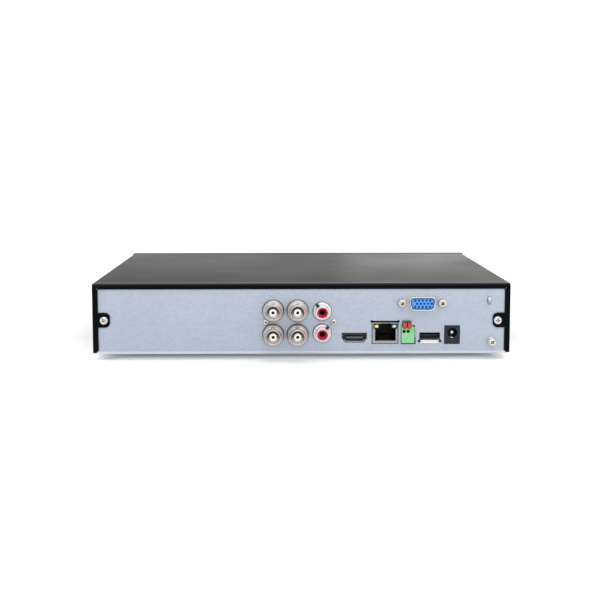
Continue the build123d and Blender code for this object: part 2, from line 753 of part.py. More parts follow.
# ---------------------------------------------------------------- VGA socket
vga_screw_places = [
    (vga_centre[0] + side * vga_screw_pitch / 2, vga_centre[1]) for side in (-1, 1)
]
vga_width, vga_height, vga_corner, vga_wall = 16.9, 8.3, 2.6, 0.45
vga_inner_width, vga_inner_height = vga_width - 2 * vga_wall, vga_height - 2 * vga_wall
vga_flange_width, vga_flange_height, vga_flange = 30.8, 12.5, 0.8
vga_flange_rear_y = panel_inner_y + vga_flange
vga_tip_y, vga_rear_y, vga_leg_front_y = -110.8, -82.0, -90.0
vga_face_y = vga_tip_y + 0.3
vga_contact_rear_y = -99.8
vga_pin_pitch, vga_row_pitch = 2.29, 1.98
vga_row_starts = {1: -4.6, 0: -3.5, -1: -4.6}  # first pin of each row, from the socket's axis
vga_pins = [
    (vga_centre[0] + start + pin * vga_pin_pitch, vga_centre[1] + row * vga_row_pitch)
    for row, start in vga_row_starts.items()
    for pin in range(5)
]
jackscrew_flats, jackscrew_length = 4.75, 4.8
jackscrew_bore_radius = 1.12

with BuildPart() as vga_shell:
    with BuildSketch(rear_plane(vga_flange_rear_y)):
        with Locations(vga_centre):
            RectangleRounded(vga_flange_width, vga_flange_height, 1.0)
        with Locations(*vga_screw_places):
            Circle(1.6, mode=Mode.SUBTRACT)
    extrude(amount=vga_flange)
    with BuildSketch(rear_plane(vga_flange_rear_y)):
        with Locations(vga_centre):
            add(d_outline(vga_width, vga_height, vga_corner))
    extrude(amount=vga_flange_rear_y - vga_tip_y)
    with BuildSketch(rear_plane(vga_flange_rear_y)):
        with Locations(vga_centre):
            add(d_outline(vga_inner_width, vga_inner_height, vga_corner - vga_wall))
    extrude(amount=vga_flange_rear_y - vga_tip_y, mode=Mode.SUBTRACT)
save(vga_shell, "vga_shell")

with BuildPart() as vga_insulator:
    with BuildSketch(rear_plane(vga_flange_rear_y)):
        with Locations(vga_centre):
            add(d_outline(vga_inner_width - 0.1, vga_inner_height - 0.1, vga_corner - vga_wall))
    extrude(amount=vga_flange_rear_y - vga_face_y)
    chamfer(vga_insulator.faces().sort_by(Axis.Y)[0].edges(), 0.9)
    with BuildSketch(rear_plane(vga_rear_y)):
        with Locations(vga_centre):
            Rectangle(vga_flange_width, vga_flange_height - 1.2)
    extrude(amount=vga_rear_y - vga_flange_rear_y)
    # leg that stands the socket off the board, behind the lower row of sockets
    with BuildSketch(rear_plane(vga_rear_y)):
        with Locations((vga_centre[0], (board_top_z + vga_centre[1]) / 2)):
            Rectangle(vga_flange_width - 4.8, vga_centre[1] - board_top_z)
    extrude(amount=vga_rear_y - vga_leg_front_y)
    with BuildSketch(rear_plane(vga_flange_rear_y)):
        with Locations(*vga_screw_places):
            Circle(1.4)
    extrude(amount=-4.0, mode=Mode.SUBTRACT)
    with BuildSketch(rear_plane(vga_tip_y)):
        with Locations(*vga_pins):
            Circle(0.5)
    extrude(amount=vga_tip_y - vga_contact_rear_y, mode=Mode.SUBTRACT)
    with BuildSketch(rear_plane(vga_face_y)):
        with Locations(*vga_pins):
            Circle(0.72)
    extrude(amount=-0.6, mode=Mode.SUBTRACT)
save(vga_insulator, "vga_insulator")

with BuildPart() as vga_contacts:
    with BuildSketch(rear_plane(vga_contact_rear_y)):
        with Locations(*vga_pins):
            Circle(0.5)
    extrude(amount=vga_contact_rear_y - vga_face_y - 3.0)
    with BuildSketch(rear_plane(vga_face_y)):
        with Locations(*vga_pins):
            Circle(0.3)
    extrude(amount=-6.0, mode=Mode.SUBTRACT)
save(vga_contacts, "vga_contacts")

with BuildPart() as vga_jackscrews:
    with BuildSketch(rear_plane(panel_outer_y)):
        with Locations(*vga_screw_places):
            RegularPolygon(jackscrew_flats / 2, 6, major_radius=False)
    extrude(amount=jackscrew_length)
    chamfer(vga_jackscrews.faces().group_by(Axis.Y)[0].edges(), 0.45)
    with BuildSketch(rear_plane(panel_outer_y)):
        with Locations(*vga_screw_places):
            Circle(1.35)
    extrude(amount=-5.0)
    with BuildSketch(rear_plane(panel_outer_y - jackscrew_length)):
        with Locations(*vga_screw_places):
            Circle(jackscrew_bore_radius)
    extrude(amount=-4.5, mode=Mode.SUBTRACT)
save(vga_jackscrews, "vga_jackscrews")

# ---------------------------------------------------------------- HDMI socket
hdmi_width, hdmi_height, hdmi_wall = 14.9, 5.5, 0.4
hdmi_mouth_y = panel_inner_y + 0.1
hdmi_rear_y, hdmi_block_y = -95.0, -98.0
hdmi_tongue_width, hdmi_tongue_thickness, hdmi_tongue_z = 10.4, 1.4, 14.1

with BuildPart() as hdmi_shell:
    with BuildSketch(rear_plane(hdmi_rear_y)):
        with Locations(hdmi_centre):
            add(hdmi_outline(hdmi_width, hdmi_height))
    extrude(amount=hdmi_rear_y - hdmi_mouth_y)
    with BuildSketch(rear_plane(hdmi_rear_y - hdmi_wall)):
        with Locations(hdmi_centre):
            add(hdmi_outline(hdmi_width - 2 * hdmi_wall, hdmi_height - 2 * hdmi_wall))
    extrude(amount=hdmi_rear_y - hdmi_wall - hdmi_mouth_y, mode=Mode.SUBTRACT)
    with BuildSketch(Plane.XY.offset(board_top_z)):
        for side in (-1, 1):
            for y in (-101.0, -96.5):
                with Locations((hdmi_centre[0] + side * (hdmi_width - hdmi_wall) / 2, y)):
                    Rectangle(hdmi_wall, 1.6)
    extrude(amount=hdmi_centre[1] - board_top_z)
save(hdmi_shell, "hdmi_shell")

with BuildPart() as hdmi_tongue:
    with BuildSketch(rear_plane(hdmi_rear_y - hdmi_wall)):
        with Locations(hdmi_centre):
            add(hdmi_outline(hdmi_width - 2 * hdmi_wall - 0.1, hdmi_height - 2 * hdmi_wall - 0.1))
    extrude(amount=hdmi_rear_y - hdmi_wall - hdmi_block_y)
    with BuildSketch(rear_plane(hdmi_block_y)):
        with Locations((hdmi_centre[0], hdmi_tongue_z)):
            Rectangle(hdmi_tongue_width, hdmi_tongue_thickness)
    extrude(amount=6.5)
    chamfer(hdmi_tongue.faces().sort_by(Axis.Y)[0].edges().filter_by(Axis.X), 0.4)
save(hdmi_tongue, "hdmi_tongue")

# ---------------------------------------------------------------- network socket
rj45_front_y, rj45_rear_y, rj45_wall = -106.3, -85.0, 0.3
rj45_bottom_z = rj45_centre[1] - rj45_height / 2
rj45_top_z = rj45_centre[1] + rj45_height / 2
rj45_mouth_x, rj45_mouth_width = 52.4, 12.1
rj45_mouth_z = (12.3, 19.9)
rj45_window_top_z = 23.15
rj45_latch_width, rj45_cavity_depth = 6.2, 13.5
rj45_led_xs = {"yellow": 46.85, "green": 58.0}
rj45_led_width, rj45_led_height, rj45_led_z = 3.1, 2.3, 21.35
rj45_led_rear_y = -100.0

with BuildPart() as rj45_shield:
    with BuildSketch(rear_plane(rj45_rear_y)):
        with Locations(rj45_centre):
            Rectangle(rj45_width, rj45_height)
    extrude(amount=rj45_rear_y - rj45_front_y)
    chamfer(rj45_shield.faces().sort_by(Axis.Y)[0].edges(), 0.15)
    with BuildSketch(rear_plane(rj45_rear_y - rj45_wall)):
        with Locations((rj45_centre[0], rj45_centre[1] - rj45_wall)):
            Rectangle(rj45_width - 2 * rj45_wall, rj45_height)
    extrude(amount=rj45_rear_y - rj45_front_y - 2 * rj45_wall, mode=Mode.SUBTRACT)
    with BuildSketch(rear_plane(rj45_front_y + rj45_wall)):
        with Locations((rj45_mouth_x, (rj45_mouth_z[0] + rj45_mouth_z[1]) / 2)):
            Rectangle(rj45_mouth_width + 0.9, rj45_mouth_z[1] - rj45_mouth_z[0])
        with Locations((rj45_mouth_x, (rj45_mouth_z[1] + rj45_window_top_z) / 2)):
            Rectangle(15.0, rj45_window_top_z - rj45_mouth_z[1])
        with Locations((rj45_mouth_x, rj45_window_top_z)):
            Rectangle(rj45_latch_width, 0.5)
    extrude(amount=rj45_wall, mode=Mode.SUBTRACT)
save(rj45_shield, "rj45_shield")

with BuildPart() as rj45_housing:
    with BuildSketch(rear_plane(rj45_rear_y - rj45_wall - 0.05)):
        with Locations((rj45_centre[0], (rj45_bottom_z + rj45_top_z - rj45_wall - 0.05) / 2)):
            Rectangle(rj45_width - 2 * rj45_wall - 0.1, rj45_height - rj45_wall - 0.05)
    extrude(amount=rj45_rear_y - rj45_front_y - 2 * rj45_wall - 0.1)
    with BuildSketch(Plane.XY.offset(board_top_z)):
        with Locations((rj45_centre[0], (board_rear_y + 1.4 + rj45_rear_y - 1.0) / 2)):
            Rectangle(rj45_width - 2.0, rj45_rear_y - 1.0 - board_rear_y - 1.4)
    extrude(amount=rj45_bottom_z - board_top_z)
    with BuildSketch(rear_plane(rj45_front_y)):
        with Locations((rj45_mouth_x, (rj45_mouth_z[0] + rj45_mouth_z[1]) / 2)):
            Rectangle(rj45_mouth_width, rj45_mouth_z[1] - rj45_mouth_z[0])
        with Locations((rj45_mouth_x, (rj45_mouth_z[1] + rj45_window_top_z) / 2)):
            Rectangle(rj45_latch_width, rj45_window_top_z - rj45_mouth_z[1])
    extrude(amount=-rj45_cavity_depth - rj45_wall, mode=Mode.SUBTRACT)
    with BuildSketch(rear_plane(rj45_front_y)):
        with Locations(*[(x, rj45_led_z) for x in rj45_led_xs.values()]):
            Rectangle(rj45_led_width + 0.1, rj45_led_height + 0.1)
    extrude(amount=rj45_front_y - rj45_led_rear_y, mode=Mode.SUBTRACT)
save(rj45_housing, "rj45_housing")

for colour, x in rj45_led_xs.items():
    with BuildPart() as rj45_led:
        with BuildSketch(rear_plane(rj45_led_rear_y)):
            with Locations((x, rj45_led_z)):
                Rectangle(rj45_led_width, rj45_led_height)
        extrude(amount=4.6)
        with BuildSketch(rear_plane(rj45_led_rear_y - 4.6)):
            with Locations((x, rj45_led_z)):
                Ellipse(rj45_led_width / 2 - 0.1, rj45_led_height / 2 - 0.1)
        extrude(amount=1.4)
        fillet(rj45_led.faces().sort_by(Axis.Y)[0].edges(), 0.5)
    save(rj45_led, f"rj45_led_{colour}")

contact_floor_y = rj45_front_y + rj45_wall + rj45_cavity_depth
with BuildPart() as rj45_contacts:
    for pin in range(8):
        with BuildSketch(Plane.YZ.offset(rj45_mouth_x + (pin - 3.5) * 1.02 - 0.22)):
            with BuildLine():
                Polyline(
                    (-104.8, rj45_mouth_z[0]),
                    (-104.8, rj45_mouth_z[0] + 0.4),
                    (-103.9, rj45_mouth_z[0] + 0.4),
                    (-96.6, rj45_mouth_z[0] + 3.3),
                    (contact_floor_y, rj45_mouth_z[0] + 3.3),
                    (contact_floor_y, rj45_mouth_z[0] + 2.9),
                    (-96.4, rj45_mouth_z[0] + 2.9),
                    (-103.8, rj45_mouth_z[0]),
                    close=True,
                )
            make_face()
        extrude(amount=0.44)
save(rj45_contacts, "rj45_contacts")

# ---------------------------------------------------------------- two-wire terminal and its levers
terminal_width = terminal_x[1] - terminal_x[0]
terminal_rear_y, terminal_step_y, terminal_nose_y = -94.0, panel_inner_y + 0.1, -107.6
terminal_foot_z, lever_bottom_z, lever_travel = 11.0, 21.3, 1.5
lever_front_y, lever_rear_y = -109.9, -102.9
lever_shoulder_y = terminal_step_y - lever_travel - 0.1
lever_tip_drop, lever_tip_top, lever_tip_end = 1.4, 1.05, 0.35  # the pointed tip and its half widths
lever_rail_z, wire_z, wire_hole_radius = 23.6, 18.35, 1.05
slot_rear_y = lever_rear_y + lever_travel + 0.2
slot_width = lever_xs[1] - lever_xs[0] + lever_width + 0.2
slot_x = sum(lever_xs) / 2
chamber_front_y, chamber_rear_y = -103.0, -96.0
chamber_bottom_z, chamber_top_z = 12.0, 18.4

with BuildPart() as terminal_body:
    with BuildSketch(Plane.YZ.offset(terminal_x[0])):
        with BuildLine():
            Polyline(
                (terminal_rear_y, board_top_z),
                (board_rear_y + 0.4, board_top_z),
                (board_rear_y - 0.4, terminal_foot_z),
                (terminal_nose_y, terminal_foot_z),
                (terminal_nose_y, terminal_step_z - 1.0),
                (terminal_nose_y + 1.0, terminal_step_z),
                (terminal_step_y, terminal_step_z),
                (terminal_step_y, terminal_top_z),
                (terminal_rear_y, terminal_top_z),
                close=True,
            )
        make_face()
    extrude(amount=terminal_width)
    # the upper corner beside the levers is cut away
    with BuildSketch(rear_plane(terminal_step_y)):
        with BuildLine():
            Polyline(
                (terminal_x[1] - 1.5, terminal_step_z + 0.1),
                (terminal_x[1] + 0.1, terminal_step_z + 0.1),
                (terminal_x[1] + 0.1, terminal_step_z - 1.0),
                close=True,
            )
        make_face()
    extrude(amount=terminal_step_y - terminal_nose_y, mode=Mode.SUBTRACT)
    # one slot for both levers, roofed behind the panel, with a tapered guide groove under each
    with BuildSketch(rear_plane(slot_rear_y)):
        with Locations((slot_x, (lever_bottom_z - 0.1 + lever_rail_z + 0.2) / 2)):
            Rectangle(slot_width, lever_rail_z - lever_bottom_z + 0.3)
    extrude(amount=slot_rear_y - terminal_nose_y, mode=Mode.SUBTRACT)
    for x in lever_xs:
        with BuildSketch(rear_plane(slot_rear_y)):
            with BuildLine():
                Polyline(
                    (x - lever_tip_top - 0.12, lever_bottom_z),
                    (x + lever_tip_top + 0.12, lever_bottom_z),
                    (x + lever_tip_end + 0.12, lever_bottom_z - lever_tip_drop - 0.12),
                    (x - lever_tip_end - 0.12, lever_bottom_z - lever_tip_drop - 0.12),
                    close=True,
                )
            make_face()
        extrude(amount=slot_rear_y - terminal_nose_y, mode=Mode.SUBTRACT)
    with BuildSketch(rear_plane(terminal_nose_y)):
        with Locations(*[(x, wire_z) for x in terminal_poles]):
            Circle(wire_hole_radius)
    extrude(amount=terminal_nose_y - chamber_front_y - 0.2, mode=Mode.SUBTRACT)
    with BuildSketch(rear_plane(chamber_rear_y)):
        with Locations(*[(x, (chamber_bottom_z + chamber_top_z) / 2) for x in terminal_poles]):
            Rectangle(2.0, chamber_top_z - chamber_bottom_z)
    extrude(amount=chamber_rear_y - chamber_front_y, mode=Mode.SUBTRACT)
    with BuildSketch(Plane.XY.offset(board_top_z)):
        with Locations(*[(x, chamber_rear_y - 0.5) for x in terminal_poles]):
            Rectangle(1.0, 1.0)
    extrude(amount=chamber_bottom_z - board_top_z, mode=Mode.SUBTRACT)
save(terminal_body, "terminal_body")

for number, x in enumerate(lever_xs, 1):
    with BuildPart() as terminal_lever:
        with BuildSketch(Plane.YZ.offset(x - lever_width / 2)):
            with BuildLine():
                Polyline(
                    (lever_front_y + 0.3, lever_bottom_z),
                    (lever_front_y, lever_bottom_z + 0.6),
                    (lever_front_y + 0.2, terminal_top_z),
                    (lever_shoulder_y, terminal_top_z),
                    (lever_shoulder_y, lever_rail_z),
                    (lever_rear_y, lever_rail_z),
                    (lever_rear_y, lever_bottom_z),
                    close=True,
                )
            make_face()
        extrude(amount=lever_width)
        with BuildSketch(rear_plane(lever_rear_y)):
            with BuildLine():
                Polyline(
                    (x - lever_tip_top, lever_bottom_z),
                    (x + lever_tip_top, lever_bottom_z),
                    (x + lever_tip_end, lever_bottom_z - lever_tip_drop),
                    (x - lever_tip_end, lever_bottom_z - lever_tip_drop),
                    close=True,
                )
            make_face()
        extrude(amount=lever_rear_y - lever_front_y - 0.4)
    save(terminal_lever, f"terminal_lever_{number}")

with BuildPart() as terminal_clamps:
    for x in terminal_poles:
        with BuildSketch(Plane.YZ.offset(x - 0.9)):
            with BuildLine():
                Polyline(
                    (chamber_rear_y, chamber_bottom_z),
                    (chamber_front_y + 0.3, chamber_bottom_z),
                    (chamber_front_y + 0.3, chamber_bottom_z + 0.4),
                    (chamber_rear_y - 0.4, chamber_bottom_z + 0.4),
                    (chamber_rear_y - 0.4, chamber_top_z - 0.6),
                    (chamber_front_y + 0.9, chamber_top_z - 1.8),
                    (chamber_front_y + 0.8, chamber_top_z - 1.4),
                    (chamber_rear_y, chamber_top_z - 0.1),
                    close=True,
                )
            make_face()
        extrude(amount=1.8)
        with BuildSketch(Plane.XY.offset(board_top_z)):
            with Locations((x, chamber_rear_y - 0.5)):
                Rectangle(0.8, 0.6)
        extrude(amount=chamber_bottom_z - board_top_z)
save(terminal_clamps, "terminal_clamps")

# ---------------------------------------------------------------- USB sockets
usb_wall, usb_depth, usb_lip_reach = 0.3, 13.0, 1.8
usb_mouth_y = panel_inner_y + 0.4
usb_tongue_width, usb_tongue_thickness, usb_tongue_rise = 11.1, 1.4, 0.8


def usb_shell_outline(inset):
    """The rectangular outline of a USB shell, drawn in by inset."""
    with BuildSketch() as outline:
        RectangleRounded(usb_width - 2 * inset, usb_height - 2 * inset, 0.8 - inset)
    return outline.sketch


def usb_shell(lipped, leg):
    """A USB shell with its mouth at y = 0 and its length towards +Y, on legs of this height.

    A lipped shell has its floor bent down and out at the mouth.
    """
    with BuildPart() as shell:
        with BuildSketch(rear_plane(usb_depth)):
            add(usb_shell_outline(0.0))
        extrude(amount=usb_depth)
        with BuildSketch(rear_plane(usb_depth - usb_wall)):
            add(usb_shell_outline(usb_wall))
        extrude(amount=usb_depth, mode=Mode.SUBTRACT)
        if lipped:
            with BuildSketch(Plane.YZ.offset(-usb_lip_width / 2)):
                with BuildLine():
                    Polyline(
                        (0.4, -usb_height / 2),
                        (0.4, -usb_height / 2 + usb_wall),
                        (-usb_lip_reach, -usb_height / 2 - usb_lip_drop + usb_wall),
                        (-usb_lip_reach, -usb_height / 2 - usb_lip_drop),
                        close=True,
                    )
                make_face()
            extrude(amount=usb_lip_width)
        if leg > 0:
            with BuildSketch(Plane.XY.offset(-usb_height / 2 - leg)):
                for side in (-1, 1):
                    for y in (4.0, 10.0):
                        with Locations((side * (usb_width - usb_wall) / 2, y)):
                            Rectangle(usb_wall, 1.8)
            extrude(amount=leg + 1.5)
    return shell.part


def usb_tongue():
    """The moulded tongue of a USB socket, in the frame of its shell."""
    with BuildPart() as tongue:
        with BuildSketch(rear_plane(usb_depth - usb_wall)):
            add(usb_shell_outline(usb_wall + 0.05))
        extrude(amount=2.4)
        with BuildSketch(rear_plane(usb_depth - usb_wall - 2.4)):
            with Locations((0, usb_tongue_rise)):
                Rectangle(usb_tongue_width, usb_tongue_thickness)
        extrude(amount=8.8)
        chamfer(tongue.faces().sort_by(Axis.Y)[0].edges().filter_by(Axis.X), 0.3)
    return tongue.part


usb_leg = usb_centre[1] - usb_height / 2 - board_top_z
usb_rear_place = Location((usb_centre[0], usb_mouth_y, usb_centre[1]))
with BuildPart() as usb_rear_shell:
    add(usb_shell(True, usb_leg).moved(usb_rear_place))
save(usb_rear_shell, "usb_rear_shell")

with BuildPart() as usb_rear_tongue:
    add(usb_tongue().moved(usb_rear_place))
save(usb_rear_tongue, "usb_rear_tongue")

# ---------------------------------------------------------------- power socket
dc_front_y, dc_rear_y = -106.6, -92.0
dc_bore_radius, dc_bore_depth, dc_bore_z = 3.1, 9.4, 17.4
dc_bore_place = (dc_jack_centre[0], dc_bore_z)
dc_floor_y = dc_front_y + dc_bore_depth
dc_top_z = dc_jack_centre[1] + dc_height / 2
dc_pin_radius = 1.05

with BuildPart() as dc_jack_body:
    with BuildSketch(rear_plane(dc_rear_y)):
        with Locations((dc_jack_centre[0], (board_top_z + dc_top_z) / 2)):
            Rectangle(dc_width, dc_top_z - board_top_z)
    extrude(amount=dc_rear_y - dc_front_y)
    chamfer(dc_jack_body.faces().sort_by(Axis.Y)[0].edges(), 0.3)
    with BuildSketch(rear_plane(dc_front_y)):
        with Locations(dc_bore_place):
            Circle(dc_bore_radius)
        with Locations((dc_bore_place[0], dc_bore_z - dc_bore_radius)):
            Rectangle(1.9, 1.5)
    extrude(amount=-dc_bore_depth, mode=Mode.SUBTRACT)
    with BuildSketch(rear_plane(dc_floor_y)):
        with Locations(dc_bore_place):
            Circle(dc_pin_radius)
    extrude(amount=-2.0, mode=Mode.SUBTRACT)
save(dc_jack_body, "dc_jack_body")

with BuildPart() as dc_jack_contacts:
    with BuildSketch(rear_plane(dc_floor_y + 2.0)):
        with Locations(dc_bore_place):
            Circle(dc_pin_radius)
    extrude(amount=dc_bore_depth + 0.6)
    fillet(dc_jack_contacts.faces().sort_by(Axis.Y)[0].edges(), 0.7)
    with BuildSketch(Plane.YZ.offset(dc_bore_place[0] - 0.8)):
        with BuildLine():
            Polyline(
                (dc_floor_y, dc_bore_z - 3.85),
                (dc_floor_y, dc_bore_z - 3.45),
                (dc_floor_y - 4.0, dc_bore_z - 2.5),
                (dc_front_y + 1.0, dc_bore_z - 3.1),
                (dc_front_y + 1.0, dc_bore_z - 3.5),
                (dc_floor_y - 4.0, dc_bore_z - 2.9),
                close=True,
            )
        make_face()
    extrude(amount=1.6)
save(dc_jack_contacts, "dc_jack_contacts")

# ---------------------------------------------------------------- main board and what stands on it
soc_place, soc_size, soc_height = (58.0, -40.0), 23.0, 1.6
heatsink_size, heatsink_base, heatsink_height = 40.0, 2.5, 12.0
fin_count, fin_thickness = 10, 1.3
chip_blocks = [  # x, y, width, depth, height
    (*soc_place, soc_size, soc_size, soc_height),
    (24.0, -44.0, 9.0, 13.0, 1.2),
    (24.0, -28.0, 9.0, 13.0, 1.2),
    (6.0, -48.0, 14.0, 14.0, 1.4),
    (52.0, -74.0, 16.0, 9.0, 5.0),
    (90.0, -40.0, 6.0, 5.0, 1.6),
    (58.0, -8.0, 12.0, 18.0, 1.2),
    (4.0, -20.0, 7.0, 7.0, 1.2),
]
can_blocks = [  # x, y, radius, height
    (84.0, -76.0, 4.0, 9.0),
    (94.5, -78.0, 3.2, 7.5),
    (93.0, -58.0, 4.0, 9.0),
    (93.0, -26.0, 3.2, 7.5),
    (8.0, -2.0, 3.2, 7.5),
    (38.0, -78.0, 2.5, 5.5),
    (28.0, -78.0, 2.5, 5.5),
]
coin_cell_place, coin_cell_radius = (86.0, 2.0), 10.0
data_socket_x, power_socket_x, panel_socket_x = 14.0, 34.0, 56.0
socket_y, socket_depth = 12.5, 7.0
cable_z = 13.5

with BuildPart() as main_board:
    with BuildSketch(Plane.XY.offset(board_bottom_z)):
        with BuildLine():
            Polyline(
                (board_left_x, board_rear_y),
                (board_right_x, board_rear_y),
                (board_right_x, board_front_y),
                (board_notch_x, board_front_y),
                (board_notch_x, board_notch_y),
                (board_left_x, board_notch_y),
                close=True,
            )
        make_face()
        with Locations(*pillar_places):
            Circle(pillar_hole_radius + 0.1, mode=Mode.SUBTRACT)
    extrude(amount=board_thickness)
save(main_board, "main_board")

with BuildPart() as board_chips:
    for x, y, width, depth, height in chip_blocks:
        with BuildSketch(Plane.XY.offset(board_top_z)):
            with Locations((x, y)):
                Rectangle(width, depth)
        extrude(amount=height)
    chamfer(board_chips.faces().filter_by(Plane.XY).group_by(Axis.Z)[-1].edges(), 0.3)
save(board_chips, "board_chips")

with BuildPart() as heatsink:
    with BuildSketch(Plane.XY.offset(board_top_z + soc_height)):
        with Locations(soc_place):
            Rectangle(heatsink_size, heatsink_size)
    extrude(amount=heatsink_height)
    gap_pitch = (heatsink_size - fin_thickness) / (fin_count - 1)
    with BuildSketch(Plane.XY.offset(board_top_z + soc_height + heatsink_base)):
        with Locations(soc_place):
            with GridLocations(gap_pitch, 0, fin_count - 1, 1):
                Rectangle(gap_pitch - fin_thickness, heatsink_size)
    extrude(amount=heatsink_height - heatsink_base, mode=Mode.SUBTRACT)
save(heatsink, "heatsink")

with BuildPart() as board_capacitors:
    for x, y, radius, height in can_blocks:
        with BuildSketch(Plane.XY.offset(board_top_z)):
            with Locations((x, y)):
                Circle(radius)
        extrude(amount=height)
        rim = board_capacitors.edges().filter_by(GeomType.CIRCLE).filter_by(
            lambda e: abs(e.arc_center.X - x) < 0.1
            and abs(e.arc_center.Y - y) < 0.1
            and e.arc_center.Z > board_top_z + 1
        )
        fillet(rim, 0.5)
save(board_capacitors, "board_capacitors")

with BuildPart() as coin_cell:
    with BuildSketch(Plane.XY.offset(board_top_z)):
        with Locations(coin_cell_place):
            Circle(coin_cell_radius + 1.2)
    extrude(amount=3.0)
    with BuildSketch(Plane.XY.offset(board_top_z + 1.0)):
        with Locations(coin_cell_place):
            Circle(coin_cell_radius)
    extrude(amount=3.2)
    chamfer(coin_cell.faces().sort_by(Axis.Z)[-1].edges(), 0.4)
save(coin_cell, "coin_cell")

with BuildPart() as board_sockets:
    with BuildSketch(Plane.XY.offset(board_top_z)):
        with Locations((data_socket_x, socket_y)):
            Rectangle(17.0, socket_depth)
        with Locations((power_socket_x, socket_y)):
            Rectangle(12.0, socket_depth)
    extrude(amount=7.0)
    with BuildSketch(Plane.XY.offset(board_top_z)):
        with Locations((panel_socket_x, 18.0)):
            Rectangle(12.0, 8.0)
    extrude(amount=4.7)
save(board_sockets, "board_sockets")

# ---------------------------------------------------------------- front board
front_port_mouth_y = 114.6
front_board_x, front_board_y = (-118.0, -52.0), (90.0, 112.0)
panel_plug_x, panel_plug_y, panel_cable_z = -57.5, 95.0, 25.0
led_chip_y = pipe_bar_y - 0.7

with BuildPart() as front_board:
    with BuildSketch(Plane.XY.offset(front_board_bottom_z)):
        with Locations((sum(front_board_x) / 2, sum(front_board_y) / 2)):
            Rectangle(front_board_x[1] - front_board_x[0], front_board_y[1] - front_board_y[0])
        with Locations(*[(x, front_boss_y) for x in front_boss_xs]):
            Circle(pillar_hole_radius + 0.1, mode=Mode.SUBTRACT)
    extrude(amount=front_board_top_z - front_board_bottom_z)
    with BuildSketch(Plane.XY.offset(front_board_top_z)):
        with Locations(*[(x, led_chip_y) for x in led_xs]):
            Rectangle(2.0, 1.25)
    extrude(amount=0.8)
save(front_board, "front_board")

front_port_place = Location((front_usb_x, front_port_mouth_y, front_usb_z), (0, 0, 180))
with BuildPart() as front_usb_port:
    add(usb_shell(False, 0.0).moved(front_port_place))
    add(usb_tongue().moved(front_port_place))
save(front_usb_port, "front_usb_port")

with BuildPart() as board_screws:
    for x, y in pillar_places:
        seat = Plane(origin=(x, y, board_top_z), z_dir=(0, 0, 1))
        add(pan_screw(seat, 2.6, 1.8, pillar_hole_radius, 4.8))
    for x in front_boss_xs:
        seat = Plane(origin=(x, front_boss_y, front_board_top_z), z_dir=(0, 0, 1))
        add(pan_screw(seat, 2.3, 1.6, pillar_hole_radius, 6.0))
save(board_screws, "board_screws")

# ---------------------------------------------------------------- hard disk drive
disk_rear_y = disk_y - disk_length / 2
disk_left_x, disk_right_x = disk_x - disk_width / 2, disk_x + disk_width / 2
disk_base_top_z, disk_lid_thickness = 33.0, 1.1
cavity_floor_z, shoulder_z = 18.0, 20.0
platter_place, platter_radius, platter_thickness = (disk_x, -17.5), 47.5, 1.3
platter_z = 22.0
hub_radius, hub_bore_radius, hub_top_z = 12.5, 6.05, 25.0
spindle_radius = 6.0
arm_place, arm_post_radius, arm_bore_radius = (-99.0, 38.5), 3.0, 3.05
arm_length, arm_park_angle = 50.0, -12.4
arm_bay_x, arm_bay_y = (disk_x - 47.3, disk_x + 41.0), (8.0, 70.0)
pcb_recess_top_z, pcb_half_width, pcb_rear_y = 10.5, 38.0, -36.0
connector_x, connector_y, connector_top_z = (-76.5, -33.0), (71.8, disk_front_y), 16.8
lid_screw_places = [
    (disk_x + side * 46.5, disk_y + end * 69.5) for side in (-1, 1) for end in (-1, 1)
]

with BuildPart() as disk_base:
    with BuildSketch(Plane.XY.offset(disk_bottom_z)):
        with Locations((disk_x, disk_y)):
            RectangleRounded(disk_width, disk_length, 3.0)
    extrude(amount=disk_base_top_z - disk_bottom_z)
    with BuildSketch(Plane.XY.offset(cavity_floor_z)):
        with Locations(platter_place):
            Circle(platter_radius + 0.8)
        with Locations((sum(arm_bay_x) / 2, sum(arm_bay_y) / 2)):
            Rectangle(arm_bay_x[1] - arm_bay_x[0], arm_bay_y[1] - arm_bay_y[0])
    extrude(amount=disk_height, mode=Mode.SUBTRACT)
    with BuildSketch(Plane.XY.offset(cavity_floor_z)):
        with Locations(platter_place):
            Circle(spindle_radius + 2.0)
        with Locations(arm_place):
            Circle(arm_post_radius + 1.5)
    extrude(amount=shoulder_z - cavity_floor_z)
    with BuildSketch(Plane.XY.offset(cavity_floor_z)):
        with Locations(platter_place):
            Circle(spindle_radius)
        with Locations(arm_place):
            Circle(arm_post_radius)
    extrude(amount=9.0)
    # underside: the drive's board and its connector, then the screw holes
    with BuildSketch(Plane.XY.offset(disk_bottom_z)):
        with Locations((disk_x, (pcb_rear_y - 0.3 + disk_front_y + 1.0) / 2)):
            Rectangle(2 * pcb_half_width + 0.6, disk_front_y + 1.0 - pcb_rear_y + 0.3)
    extrude(amount=pcb_recess_top_z - disk_bottom_z, mode=Mode.SUBTRACT)
    with BuildSketch(Plane.XY.offset(disk_bottom_z)):
        with Locations((sum(connector_x) / 2, connector_y[0] + 4.7)):
            Rectangle(connector_x[1] - connector_x[0] + 0.8, 10.0)
    extrude(amount=connector_top_z + 0.2 - disk_bottom_z, mode=Mode.SUBTRACT)
    with BuildSketch(Plane.XY.offset(disk_bottom_z)):
        with Locations(*disk_hole_places):
            Circle(disk_screw_radius)
    extrude(amount=5.6, mode=Mode.SUBTRACT)
    with BuildSketch(Plane.XY.offset(disk_base_top_z)):
        with Locations(*lid_screw_places):
            Circle(1.0)
    extrude(amount=-6.0, mode=Mode.SUBTRACT)
save(disk_base, "disk_base")

